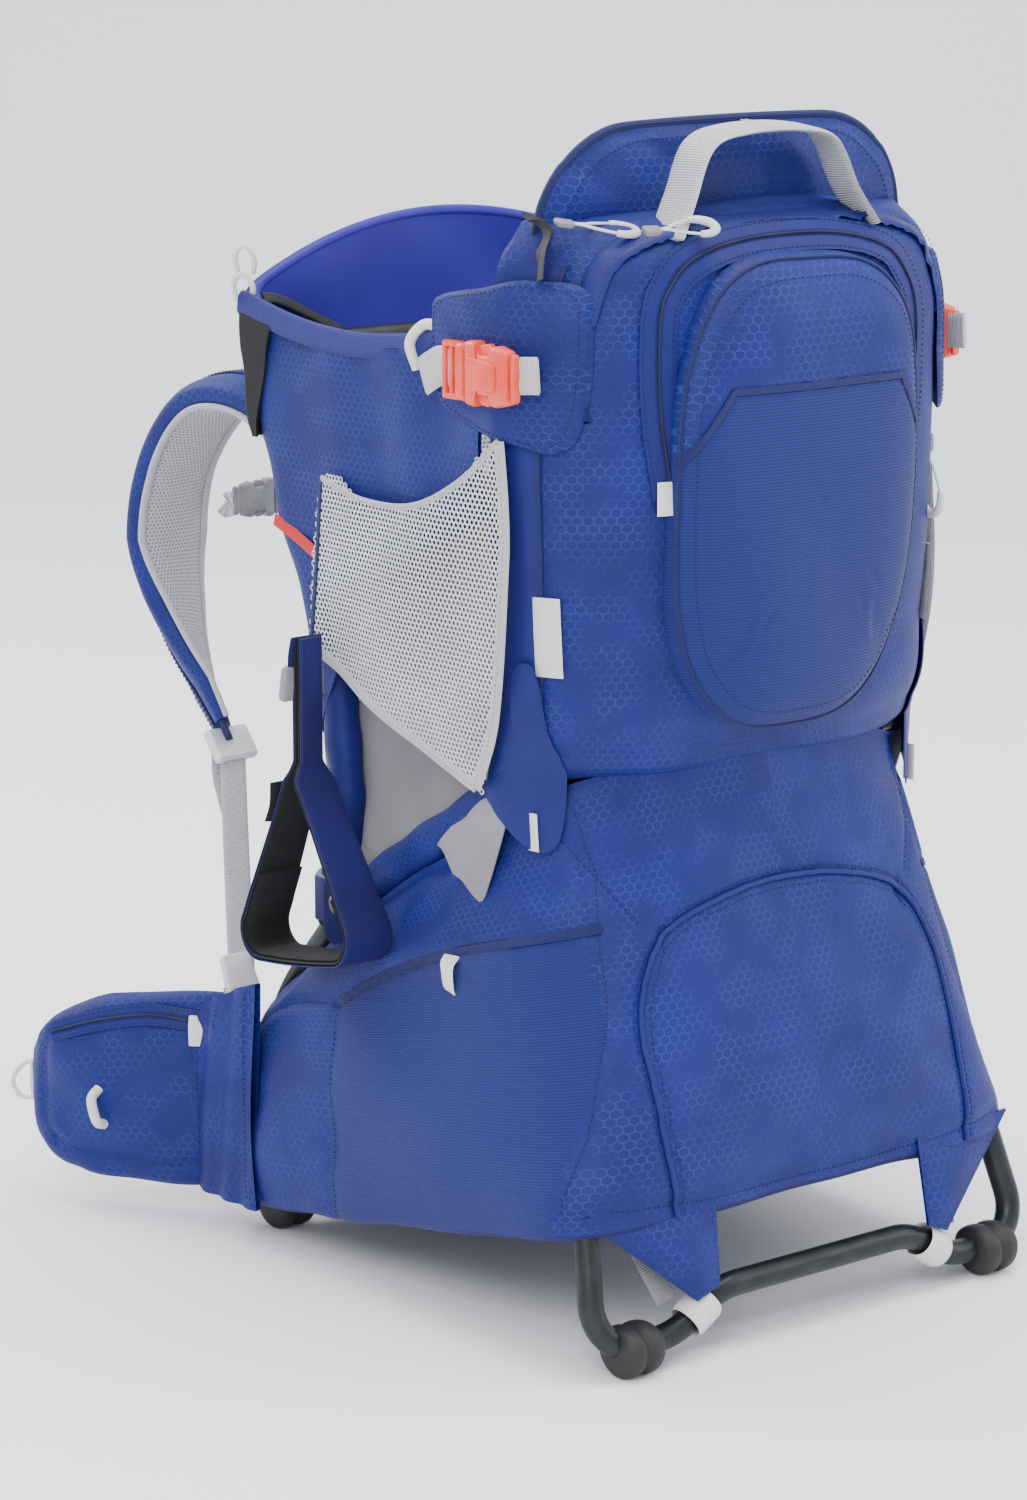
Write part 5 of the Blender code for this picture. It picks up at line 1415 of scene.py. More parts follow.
def makeNet(side, s):
    outline = smoothPath(netOutline, 0.004, closed=True)
    pitch = net["pitch"]
    rows = int(0.23 / (pitch * 0.866)) + 2
    i, j = np.meshgrid(np.arange(-34, 34), np.arange(rows), indexing="ij")
    centre = np.stack([(i + 0.5 * (j % 2)) * pitch + 0.012, 0.335 + j * pitch * 0.8660254], -1).reshape(-1,
                                                                                                        2)
    centre = centre[insideOutline(centre, outline)]
    angle = np.radians(np.arange(30, 390, 60))
    hexagon = np.stack([np.cos(angle), np.sin(angle)], 1) * pitch / math.sqrt(3)
    outer = centre[:, None] + hexagon[None]
    inner = centre[:, None] + hexagon[None] * net["hole"]
    flat = np.concatenate([outer, inner], 1).reshape(-1, 2)
    ring = np.arange(6)
    faces = np.stack([ring, (ring + 1) % 6, (ring + 1) % 6 + 6, ring + 6], 1)
    faces = (faces[None] + (np.arange(len(centre)) * 12)[:, None, None]).reshape(-1, 4)
    x = netX + netBow(flat, outline)
    verts = np.stack([s * x, flat[:, 0], flat[:, 1]], 1) + home
    corners = flat[faces.reshape(-1)]
    if s > 0:
        faces = faces[:, ::-1]
        corners = flat[faces.reshape(-1)]
    made = meshPiece("meshPocket_" + side, verts, faces, corners, netYarn, "carrier",
                     stands=["mesh_pocket_" + side])
    solid = made.modifiers.new("yarn", "SOLIDIFY")
    solid.thickness = net["yarn"]
    solid.offset = 0

    def edge(points):
        points = smoothPath(points, 0.003)
        return np.stack([s * (netX + netBow(points, outline)), points[:, 0], points[:, 1]], 1)

    bottom = edge([(0.108, 0.404), (0.090, 0.397), (0.050, 0.381), (0.000, 0.362), (-0.058, 0.343)])
    rear = edge([(-0.058, 0.343), (-0.074, 0.380), (-0.083, 0.430), (-0.084, 0.490), (-0.079, 0.554)])
    hem = edge([(-0.079, 0.554), (-0.040, 0.523), (0.000, 0.506), (0.050, 0.503), (0.096, 0.511)])
    front = edge([(0.096, 0.511), (0.100, 0.460), (0.108, 0.404)])
    for name, path, width, finish in (("Bottom", bottom, 0.0075, greyBinding),
                                      ("Rear", rear, 0.010, greyBinding),
                                      ("Hem", hem, 0.0042, greyBinding),
                                      ("Front", front, 0.004, blueBinding)):
        normals = np.broadcast_to((s * 1.0, 0, 0), path.shape)
        across = unit(np.cross(tangents(path), normals))
        addPiece("netBinding" + name + "_" + side, sweep(path, softRect(width, 0.0022, 3, 14), across),
                 finish,
                 "carrier")
        if finish is greyBinding:
            line = path + (s * 0.0012, 0, 0)
            stitches("netStitching" + name + "_" + side, [(line, normals)], threadGrey, "carrier")


netX = -low("mesh_pocket_left")[0] - 0.003
for side, s in bothSides:
    makeNet(side, s)
print("mesh pockets made")


# a flat plate with a soft outline, given by a list of corners and radii in its own plane
def plate(name, corners, radii, thick, place, xs, ys, finish, body, bow=0.0, **rest):
    outline = roundedPath([(x, y, 0) for x, y in corners], radii, 0.0016, closed=True)[:, :2]
    outline = shut(outline)
    middle = outline[:-1].mean(0)
    share = np.array([0.0, 0.5, 0.86, 0.95, 1.0, 1.0, 0.95, 0.86, 0.5, 0.0])
    rise = np.array([1, 1, 1, 0.86, 0.5, -0.5, -0.86, -1, -1, -1]) * thick / 2
    flat = middle + (outline - middle)[None] * share[:, None, None]
    zs = np.cross(xs, ys)
    lift = rise[:, None] + bow * (1 - share[:, None] ** 2)
    xs, ys = np.asarray(xs), np.asarray(ys)
    grid = np.asarray(place) + flat[..., :1] * xs + flat[..., 1:2] * ys + lift[..., None] * zs
    return addPiece(name, (grid, flat), finish, body, **rest)


def axesOf(direction, facing):
    xs = unit(np.asarray(direction, float))
    zs = np.asarray(facing, float)
    zs = unit(zs - xs * (zs @ xs))
    return xs, np.cross(zs, xs), zs


# the two halves of a side-release buckle are CAD nodes; they take a moulded finish here
def finishNodes(names, finish):
    for name in names:
        cad = frame["nodes"][name]
        cad.data.materials.clear()
        cad.data.materials.append(finish)


# a side-release buckle in place of the plain CAD halves, sized by their boxes: the socket is a plate
# with a window in each side and a raised panel, the plug a ladder frame with two sprung arms
def sideRelease(name, plugNode, socketNode, finish, plugBody, socketBody, along, facing):
    axis = int(np.argmax(np.abs(along)))
    out = int(np.argmax(np.abs(facing)))
    across = 3 - axis - out
    boxes = {n: (low(n) - home, high(n) - home) for n in (plugNode, socketNode)}
    lowest, highest = boxes[socketNode]
    toward = 1.0 if sum(corner[axis] for corner in boxes[plugNode]) > lowest[axis] + highest[axis] else -1.0
    wide, thick = highest[across] - lowest[across], highest[out] - lowest[out]
    long = highest[axis] - lowest[axis]
    mouth = (lowest + highest) / 2
    mouth[axis] = highest[axis] if toward > 0 else lowest[axis]
    xs = np.zeros(3)
    xs[axis] = toward
    zs = np.sign(facing[out]) * np.eye(3)[out]
    ys = np.cross(zs, xs)
    w, h = wide / 2, thick / 2
    side = [(-long, -w * 0.80), (-long * 0.70, -w * 0.94), (-long * 0.62, -w * 0.62),
            (-long * 0.30, -w * 0.62),
            (-long * 0.24, -w), (0, -w * 0.96)]
    outline = side + [(x, -y) for x, y in reversed(side)]
    plate(name + "Socket", outline, [0.0016, 0.002, 0.0012, 0.0012, 0.0014, 0.001] * 2, thick * 0.86, mouth,
          xs, ys, finish,
          socketBody, stands=[socketNode], slot="moulded_dark")
    plate(name + "Panel", [(-long * 0.80, -w * 0.40), (-long * 0.10, -w * 0.52), (-long * 0.10, w * 0.52),
                           (-long * 0.80, w * 0.40)],
          [0.002] * 4, thick * 0.16, mouth + zs * h * 0.94, xs, ys, finish, socketBody)
    # the socket's rear bar holds the webbing
    plate(name + "Bar", [(-long - 0.0055, -w * 0.74), (-long - 0.0025, -w * 0.74),
                         (-long - 0.0025, w * 0.74), (-long - 0.0055, w * 0.74)],
          [0.001] * 4, thick * 0.42, mouth, xs, ys, finish, socketBody)
    if toward > 0:
        reach = boxes[plugNode][1][axis] - highest[axis]
    else:
        reach = lowest[axis] - boxes[plugNode][0][axis]
    reach = max(reach, 0.008)
    plate(name + "Plug", [(0.0004, -w * 0.90), (reach * 0.36, -w * 0.86), (reach * 0.36, w * 0.86),
                          (0.0004, w * 0.90)],
          [0.0014] * 4, thick * 0.80, mouth, xs, ys, finish, plugBody, stands=[plugNode],
          slot="moulded_dark")
    for number, (a, b) in enumerate(((0.58, 0.70), (0.86, 1.0))):
        plate("%sRung%d" % (name, number), [(reach * a, -w * 0.84), (reach * b, -w * 0.84),
                                            (reach * b, w * 0.84), (reach * a, w * 0.84)],
              [0.0008] * 4, thick * 0.44, mouth, xs, ys, finish, plugBody)
    for sign in (-1, 1):
        plate("%sRail%s" % (name, "A" if sign < 0 else "B"),
              [(reach * 0.30, sign * w * 0.70), (reach, sign * w * 0.70), (reach, sign * w * 0.88),
               (reach * 0.30, sign * w * 0.88)][::sign],
              [0.0008] * 4, thick * 0.56, mouth, xs, ys, finish, plugBody)
        arm = [(0.0, 0.66), (-0.26, 0.68), (-0.36, 0.90), (-0.52, 0.95), (-0.60, 0.80), (-0.60, 0.66),
               (-0.40, 0.52), (0.0, 0.48)]
        plate("%sArm%s" % (name, "A" if sign < 0 else "B"),
              [(x * long, sign * y * w) for x, y in arm][::-sign],
              [0.0008] * 8, thick * 0.46, mouth, xs, ys, finish, plugBody)


# a zip pull: a thin cord looped from the slider through a fat U-shaped moulded sleeve
pull = dict(cord=0.0009, sleeve=0.0027, reach=0.042)


def zipPull(name, start, run, facing, length, body):
    xs, ys, zs = axesOf(run, facing)
    start = np.asarray(start, float)
    neck, wide = length * 0.36, length * 0.19
    path = [start, start + xs * neck * 0.6 + ys * 0.0010, start + xs * neck + ys * 0.0040,
            start + xs * length * 0.72 + ys * wide, start + xs * length * 0.95 + ys * wide * 0.62,
            start + xs * length,
            start + xs * length * 0.95 - ys * wide * 0.62, start + xs * length * 0.72 - ys * wide,
            start + xs * neck - ys * 0.0040, start + xs * neck * 0.6 - ys * 0.0010, start]
    path = smoothPath(path, 0.0012)
    cordTube(name + "Cord", path, pull["cord"], whiteTape, body, sides=8)
    run = runOf(path)
    part = path[(run > run[-1] * 0.30) & (run < run[-1] * 0.70)]
    swell = pull["sleeve"] * (0.72 + 0.28 * np.sin(np.linspace(0, math.pi, len(part))))
    grid = sweep(part, circle(1.0, 14)[None] * swell[:, None, None])
    addPiece(name + "Sleeve", grid, softRubber, body, slot="webbing_pale", stands=[body])
    # slider body under the cord's start
    plate(name + "Slider", [(-0.009, -0.0042), (0.003, -0.0034), (0.003, 0.0034), (-0.009, 0.0042)],
          [0.002] * 4,
          0.0034, start - zs * 0.0006, xs, ys, acetalGrey, body)


def makePulls():
    for puller, start, run, facing in (
            ("zip_pull_top_left", (-0.138, -0.102, 0.681), (0.75, -0.25, -0.12), (0, -0.3, 1)),
            ("zip_pull_top_middle", (-0.104, -0.140, 0.678), (0.95, -0.05, 0), (0, -0.5, 1)),
            ("zip_pull_side_right", (sideX - 0.020, -0.112, 0.525), (0, -0.10, -1), (1, 0, 0)),
            ("zip_pull_lower", (0.140, -0.1605, 0.118), (0, 0, -1), (0, -1, 0))):
        name = "".join(part.capitalize() for part in puller.split("_"))
        name = name[0].lower() + name[1:]
        zipPull(name, start, run, facing, pull["reach"], puller)


makePulls()


# flaps, buckles, loops and tags round the cockpit
def makeCockpitFittings():
    for side, s in bothSides:
        # flap from the pack over the cockpit wall: rounded front end carrying the buckle
        points = [(-0.118, 0.556), (-0.085, 0.553), (-0.030, 0.566), (-0.016, 0.590), (-0.012, 0.622),
                  (-0.020, 0.634),
                  (-0.060, 0.642), (-0.092, 0.648), (-0.122, 0.636)]
        outline = smoothPath(points, 0.0022, closed=True)
        outline = shut(outline)
        middle = outline.mean(0)
        share = np.array([0, 0.3, 0.6, 0.85, 0.96, 1.0, 1.0, 0.9, 0.5, 0.0])
        rise = np.array([0.0050, 0.0050, 0.0048, 0.0042, 0.0034, 0.0018, -0.0006, -0.0010, -0.0010,
                         -0.0010])
        flat = middle + (outline - middle)[None] * share[:, None, None]
        x = wallX + 0.0012 + rise[:, None] + 0.0012 * np.sin(flat[..., 0] * 90 + flat[..., 1] * 60)
        x = np.minimum(x, packSideAt(flat[..., 0], flat[..., 1]) + 0.0030 + rise[:, None])
        grid = np.stack([s * x, flat[..., 0], flat[..., 1]], -1)
        made = addPiece("cockpitFlap_" + side, (grid, flat), ripstopSmall, "carrier", slot="fabric_blue")
        tree = treeOf(made)
        inner = middle + (outline - middle) * 0.93
        line, normals = layOn(tree, np.stack([0 * inner[:, 0] + s * 0.4, inner[:, 0], inner[:, 1]], 1),
                              (-s, 0, 0), 0.0004)
        stitches("cockpitFlapStitching_" + side, [(line, normals)], threadDark, "carrier")
        sideRelease("cockpitBuckle" + side.capitalize(), "cockpit_buckle_%s_plug" % side,
                    "cockpit_buckle_%s_socket" % side,
                    acetalRed, "cockpit_plug_" + side, "carrier", (0, 1, 0), (s, 0, 0))
        # pale webbing through the buckle's rear bar, folded back on itself
        box = low("cockpit_buckle_%s_plug" % side), high("cockpit_buckle_%s_plug" % side)
        both = low("cockpit_buckle_%s_socket" % side), high("cockpit_buckle_%s_socket" % side)
        y0 = max(box[1][1], both[1][1]) - midY
        z0 = (both[0][2] + both[1][2]) / 2
        x0 = s * (wallX + 0.0085)
        path = smoothPath([(x0, y0 - 0.010, z0), (x0 + s * 0.001, y0 + 0.004, z0 + 0.001),
                           (x0 - s * 0.001, y0 + 0.018, z0 - 0.004),
                           (x0 - s * 0.002, y0 + 0.026, z0 - 0.008)], 0.002)
        webbing("cockpitWebbing_" + side, path, 0.024, 0.0022, (0, 0, 1), paleWebbing,
                "cockpit_plug_" + side)
        yr = min(box[0][1], both[0][1]) - midY
        path = smoothPath([(x0, yr + 0.008, z0), (x0 - s * 0.002, yr - 0.006, z0 + 0.002),
                           (x0 - s * 0.005, yr - 0.018, z0 + 0.003)], 0.002)
        webbing("cockpitWebbingRear_" + side, path, 0.022, 0.0022, (0, 0, 1), paleWebbing, "carrier")
        # white tubular loop on the rim beside the buckle
        path = smoothPath([(s * (wallX + 0.002), 0.002, 0.588), (s * (wallX + 0.006), 0.004, 0.604),
                           (s * (wallX + 0.001), -0.004, 0.615),
                           (s * (wallX - 0.004), -0.014, 0.612), (s * (wallX - 0.006), -0.016, 0.602)],
                          0.0016)
        cordTube("rimLoop_" + side, path, 0.0034, whiteTape, "carrier", sides=12)
        # cord loops at the front corner, over the zip
        for k, (y, z) in enumerate(((0.192, 0.612), (0.190, 0.630))):
            spot = np.array([s * (wallX + 0.003), y - 0.004, z])
            path = smoothPath([spot, spot + (s * 0.004, -0.003, 0.012), spot + (s * 0.002, -0.010, 0.018),
                               spot + (-s * 0.004, -0.012, 0.010), spot + (-s * 0.006, -0.008, 0.0)],
                              0.0015)
            cordTube("cornerLoop%d_%s" % (k, side), path, 0.0018, whiteTape, "carrier", sides=10)
        path = smoothPath([(s * (wallX - 0.001), 0.184, rimZ + 0.012),
                           (s * (wallX - 0.012), 0.190, rimZ + 0.022),
                           (s * (wallX - 0.030), 0.193, rimZ + 0.031),
                           (s * (wallX - 0.052), 0.193, rimZ + 0.040)], 0.003)
        webbing("cornerZip_" + side, path, 0.010, 0.0030, (0, 0.2, 1), blackTape, "carrier")
        # red accent strip on the front edge of the cockpit side, showing beside the shoulder strap
        path = smoothPath([(s * (wallX + 0.0024), 0.150, 0.478), (s * (wallX + 0.0026), 0.126, 0.470),
                           (s * (wallX + 0.0024), 0.100, 0.459)], 0.002)
        webbing("accentStrip_" + side, path, 0.0085, 0.0016, (0, 0, 1), redNylon, "carrier")
        # plain white care tag sewn in the pack's side seam
        spot, out = layOn(packTree, [(s * 0.4, -0.100, 0.462), (s * 0.4, -0.100, 0.414)], (-s, 0, 0),
                          0.0015)
        webbing("sideTag_" + side, evenly(spot, 0.003), 0.019, 0.0010, unit(np.cross(out[0], (0, 0, 1))),
                whiteTape,
                "carrier")
    # black tag folded over the lid's left end
    path = smoothPath([(-0.150, -0.084, 0.684), (-0.152, -0.096, 0.676), (-0.160, -0.104, 0.664),
                       (-0.163, -0.106, 0.650)], 0.002)
    webbing("lidTag", path, 0.022, 0.0014, (0.5, 0.75, 0.3), blackTape, "carrier")


makeCockpitFittings()
print("cockpit fittings made")


# the seat: saddle, back, side panels and the child's straps
def stripLoft(route, width, thick, across, power=2.6, count=26):
    path = smoothPath(route, 0.0035)
    return path, sweep(path, softRect(width, thick, power, count), across)


seat = dict(sling=0.0135, strapWide=0.046, strapThick=0.0105, strapWebbing=0.016)


def makeSeat():
    # saddle: a sling between the legs, its sides turned up
    side = np.linspace(-1, 1, 60)[None, :]
    part = np.linspace(0, 1, 40)[:, None]
    depth = np.array([-0.046, 0.074])
    y = depth[0] + (depth[1] - depth[0]) * part + 0 * side
    rise = 0.130 + (0.050 - 0.130) * part
    x = 0.106 * np.sin(side * math.pi / 2) + 0 * part
    z = 0.335 + rise * abs(side) ** 3 + 0.003 * np.sin(part * 9 + side * 4)
    face = np.stack([x, y, z], -1)
    shell = closedSheet(face, seat["sling"])
    made = addPiece("seatSaddle", (shell, shell[..., :2]), greyLining, "carrier",
                    slot="lining_grey", stands=["seat_saddle"])
    # padded back rest, crowned, with three channels sewn across
    v, u = spread(84, 60, first=-1)
    z = 0.352 + 0.208 * v + 0 * u
    puffed = 0.0075 * (abs(np.sin(v * math.pi * 4)) ** 0.45) * (1 - abs(u) ** 6)
    face = np.stack([u * 0.095 + 0 * v, -0.056 + puffed, z], -1)
    back = np.stack([u * 0.095 + 0 * v, -0.0635 + 0 * puffed, z], -1)
    shell = np.concatenate([back[:1], face, back[::-1]])
    made = addPiece("seatBack", (shell, shell[..., [0, 2]]), greyLining, "carrier", slot="lining_grey",
                    stands=["seat_back"])
    for name, s in bothSides:
        # grey side panel that closes the seat beside the child's leg, seen under the net
        outline = smoothPath([(0.125, 0.400), (0.129, 0.363), (0.124, 0.272), (0.064, 0.256),
                              (-0.008, 0.276), (-0.052, 0.318),
                              (-0.058, 0.360), (-0.060, 0.440), (-0.055, 0.520), (0.040, 0.528),
                              (0.150, 0.520)], 0.003, closed=True)
        outline = shut(outline)
        middle = outline.mean(0)
        share = np.linspace(0, 1, 26)[:, None, None]
        flat = middle + (outline - middle)[None] * share
        wave = slack(np.stack([0 * flat[..., 0], flat[..., 0], flat[..., 1]], -1), 0.10, 0.0022, 31)
        x = s * (0.1455 + wave - 0.010 * (1 - share[..., 0] ** 2))
        face = np.stack([x, flat[..., 0], flat[..., 1]], -1)
        shell = np.concatenate([face, (face + (s * 0.0022, 0, 0))[::-1]])
        made = addPiece("seatSidePanel_" + name, (shell, np.concatenate([flat, flat[::-1]])), greyLining,
                        "carrier",
                        slot="lining_grey")
        tree = treeOf(made)
        seam = drawn(tree, [(0.122, 0.368), (0.070, 0.372), (0.010, 0.366), (-0.050, 0.352)], s * 0.4, 0,
                     (-s, 0, 0), lift=0.0004)
        lowerSeam = drawn(tree, [(0.118, 0.285), (0.064, 0.270), (0.000, 0.288), (-0.044, 0.326)], s * 0.4,
                          0, (-s, 0, 0), lift=0.0004)
        stitches("seatPanelStitching_" + name, [seam, lowerSeam], threadGrey, "carrier")
        piping("seatPanelPiping_" + name, seam[0] - (0, 0, 0.003), seam[1], 0.0012, greyBinding, "carrier")
        # pointed grey flap over the pivot and the pointed blue flap with its white tag
        for label, points, finish, out in (
                ("pivotFlap_", [(-0.014, 0.292), (-0.010, 0.300), (-0.052, 0.334), (-0.078, 0.338),
                                (-0.074, 0.322), (-0.052, 0.270),
                                (-0.040, 0.262)], greyLining, 0.0030),
                ("rearFlap_", [(-0.080, 0.410), (-0.060, 0.345), (-0.066, 0.330), (-0.090, 0.306),
                               (-0.100, 0.318), (-0.101, 0.380),
                               (-0.094, 0.420)], plainNylon, 0.0062)):
            edge = smoothPath(points, 0.002, closed=True)
            edge = shut(edge)
            centre = edge.mean(0)
            scale = np.array([0, 0.5, 0.9, 1.0, 1.0, 0.9, 0.5, 0.0])[:, None, None]
            lift = np.array([1, 1, 0.9, 0.4, -0.4, -0.9, -1, -1])[:, None] * 0.0012
            flat = centre + (edge - centre)[None] * scale
            x = np.minimum(frameX + tubeR + out, packSideAt(flat[..., 0],
                                                            np.maximum(flat[..., 1], waistZ + 0.01))
                           + 0.004)
            grid = np.stack([s * (x + lift), flat[..., 0], flat[..., 1]], -1)
            addPiece(label + name, (grid, flat), finish, "carrier", slot="lining_grey")
        spot = np.array([(-0.0890, 0.330), (-0.0895, 0.318), (-0.0900, 0.307)])
        x = np.minimum(frameX + tubeR + 0.0062, packSideAt(spot[:, 0],
                                                           np.maximum(spot[:, 1], waistZ + 0.01)) + 0.004)
        path = evenly(np.column_stack([s * (x + 0.0018), spot]), 0.002)
        webbing("rearFlapTag_" + name, path, 0.010, 0.0012, (0, 1, 0), whiteTape, "carrier")
        # blue cloth drawn over the hoop's lower leg, up to the pack
        leg = hoopPath()
        leg = leg[(leg[:, 0] * s > 0) & (leg[:, 2] < waistZ + 0.006) & (leg[:, 1] < 0.078)]
        leg = leg[np.argsort(leg[:, 1])]
        swell = 0.0125 + 0.0007 * np.sin(leg[:, 1] * 150) + 0.0005 * np.sin(leg[:, 1] * 61)
        addPiece("hoopSleeve_" + name, sweep(leg, circle(1.0, 20)[None] * swell[:, None, None]),
                 ripstopSmall, "carrier",
                 slot="fabric_blue")
        # rounded dark-blue tab with the slotted rivet over the frame's bracket
        cad = high("frame_rivet_" + name) if s > 0 else low("frame_rivet_" + name)
        y0 = (low("frame_rivet_" + name)[1] + high("frame_rivet_" + name)[1]) / 2 - midY
        z0 = (low("frame_rivet_" + name)[2] + high("frame_rivet_" + name)[2]) / 2
        x0 = cad[0] - s * 0.0030
        plate("rivetTab_" + name, [(-0.022, -0.030), (0.013, -0.026), (0.014, 0.017), (-0.010, 0.020)],
              [0.010, 0.012, 0.014, 0.010],
              0.0016, (x0, y0, z0), np.array([0, 1.0, 0]), np.array([0, 0, 1.0]), darkNylon, "carrier")
        # strap between the pack and the seat inside the gap
        path = smoothPath([(s * 0.150, -0.088, 0.550), (s * 0.148, -0.082, 0.480),
                           (s * 0.148, -0.080, 0.400), (s * 0.146, -0.074, 0.352)], 0.004)
        webbing("gapWebbing_" + name, path, 0.020, 0.002, (0.25, 1, 0), greyWebbing, "carrier")
        # child's shoulder strap, padded, with edge binding
        y0 = -0.056
        route = [(s * 0.055, y0 + 0.020, 0.575), (s * 0.058, y0 + 0.036, 0.628),
                 (s * 0.058, y0 + 0.070, 0.627),
                 (s * 0.052, y0 + 0.092, 0.568), (s * 0.036, y0 + 0.098, 0.497)]
        path, grid = stripLoft(route, seat["strapWide"], seat["strapThick"], (1, 0, 0))
        made = addPiece("childStrap_" + name, grid, navyNylon, "carrier", slot="fabric_dark_blue",
                        stands=["child_strap_" + name])
        up = np.cross(np.broadcast_to((1.0, 0, 0), path.shape), tangents(path))
        rows = []
        for k in (1, -1):
            cordTube("childStrapEdge%d_%s" % (k, name), path + np.array([k * 0.0215, 0, 0]), 0.0022,
                     darkNylon, "carrier", sides=8)
            rows.append((path + np.array([k * 0.0185, 0, 0]) - unit(up) * 0.0046, -unit(up)))
        stitches("childStrapStitching_" + name, rows, threadDark, "carrier")
        webbing("childStrapWebbing_" + name, path[len(path) // 3:] - unit(up)[len(path) // 3:] * 0.0062,
                seat["strapWebbing"], 0.0016, (1, 0, 0),
                greyWebbing, "carrier")
    sideRelease("childBuckle", "child_buckle_plug", "child_buckle_socket", acetalGrey, "child_buckle_plug",
                "carrier", (0, 0, 1),
                (0, 1, 0))


makeSeat()
print("seat made")


# the harness: back panel, yoke, shoulder straps and chest strap
strap = dict(wide=0.066, thick=0.0235, webbing=0.020, yoke=0.0055, leanTop=14, leanEnd=50)


def makeHarness():
    # back panel: padded, follows the frame, spacer mesh towards the wearer
    v, u = spread(100, 76, first=-1)
    z = 0.163 + (0.536 - 0.163) * v + 0 * u
    base = frameDepth(z) - 0.001
    ridge = 0.0065 * (1 - (abs(abs(u) - 0.5) / 0.5).clip(0, 1) ** 3) * np.clip(1 - abs(v * 2 - 1) ** 8, 0,
                                                                               1)
    face = np.stack([u * 0.135 * (1 - 0.10 * v ** 3) + 0 * v, base + ridge - 0.004, z], -1)
    back = face.copy()
    back[..., 1] = base - 0.0145
    shell = np.concatenate([back[:1], face, back[::-1]])
    panel = addPiece("backPanelPad", (shell, shell[..., [0, 2]]), spacer, "carrier", slot="mesh",
                     stands=["back_panel"])
    tree = treeOf(panel)
    rows = [drawn(tree, [(k * 0.010, 0.18), (k * 0.012, 0.35), (k * 0.010, 0.52)], 0.6, 1, (0, -1, 0),
                  lift=0.0004) for k in (-1, 1)]
    stitches("backPanelStitching", rows, threadGrey, "carrier")
    # yoke plate: a padded dark panel that the shoulder straps grow from
    v, u = spread(40, 60, first=-1)
    z = 0.417 + (0.489 - 0.417) * v + 0 * u
    face = np.stack([u * 0.109 + 0 * v, frameDepth(z) + 0.0125 + 0.002 * (1 - u ** 2), z], -1)
    shell = closedSheet(face, strap["yoke"])
    addPiece("harnessYoke", (shell, shell[..., [0, 2]]), navyNylon, "harness",
             slot="fabric_dark_blue", stands=["harness_yoke"])
    for name, s in bothSides:
        route = [(s * 0.078, 0.149, 0.427), (s * 0.084, 0.188, 0.493), (s * 0.094, 0.242, 0.535),
                 (s * 0.104, 0.302, 0.535),
                 (s * 0.112, 0.344, 0.490), (s * 0.116, 0.355, 0.430), (s * 0.116, 0.3345, 0.370),
                 (s * 0.114, 0.2915, 0.313)]
        path = smoothPath(route, 0.0035)
        along = tangents(path)
        part = np.linspace(0, 1, len(path))
        wide = strap["wide"] * (1 - 0.42 * np.clip((part - 0.72) / 0.28, 0, 1) ** 1.5)
        thick = strap["thick"] * (1 - 0.55 * np.clip((part - 0.80) / 0.20, 0, 1))
        turn = np.radians(strap["leanTop"]) * np.clip((part - 0.35) / 0.25, 0, 1)
        turn = turn + np.radians(strap["leanEnd"]) * np.clip((part - 0.70) / 0.24, 0, 1)
        across = np.stack([np.cos(turn), -s * np.sin(turn), 0 * turn], 1)
        across = unit(across - along * np.sum(across * along, 1, keepdims=True))
        outward = unit(np.cross(across, along))
        outward = outward * np.sign(outward[len(path) // 2] @ np.array([0, 1, 0.2]))
        # outer shell and inner mesh pad: one lens-shaped section, coloured by side
        profile = softRect(1.0, 1.0, 2.8, 44)[None] * np.stack([wide, thick], 1)[:, None]
        grid, uv = sweep(path, profile, across)
        edges = nearSeams([path + across * wide[:, None] * 0.47, path - across * wide[:, None] * 0.47],
                          0.005)
        grid = puff(grid, edges, cap=0.004)

        def choose(centre, path=path, outward=outward):
            near = np.argmin(((centre[:, None] - path[None]) ** 2).sum(-1), 1)
            depth = np.sum((centre - path[near]) * outward[near], -1)
            return (depth < -0.0068).astype(int)

        pad = addPiece("shoulderStrap_" + name, (grid, uv), [ripstopSmall, spacer], "harness",
                       slot="fabric_blue",
                       stands=["shoulder_strap_" + name], choose=choose)
        for k in (1, -1):
            edge = path + across * (k * wide[:, None] * 0.470) - outward * (thick[:, None] * 0.34)
            grid = sweep(edge, softRect(0.0062, 0.0040, 2.6, 12), across)
            addPiece("strapBinding%s_%s" % ("In" if k * s < 0 else "Out", name), grid, greyBinding,
                     "harness")
        # webbing down the middle of the shell, with its stitching and the daisy loop
        middle = slice(len(path) // 4, None)
        raised = path + outward * (thick[:, None] * 0.5 + 0.0006)
        webbing("strapWebbing_" + name, raised[middle], strap["webbing"], 0.0018, across[middle], darkNylon,
                "harness")
        stitches("strapStitching_" + name, [(raised[middle] + across[middle] * k * 0.0085 + outward[middle]
                                             * 0.001, outward[middle]) for k in (1, -1)],
                 threadDark, "harness")
        spot = path[int(len(path) * 0.30)] + outward[int(len(path) * 0.30)] * 0.009
        loop = smoothPath([spot + (0.006, -0.004, 0), spot + (0.006, 0, 0.007),
                           spot + (-0.006, 0.002, 0.008), spot + (-0.006, -0.004, 0.000)], 0.0015)
        webbing("strapLoop_" + name, loop, 0.011, 0.0016, (0, 1, 0), whiteTape, "harness")
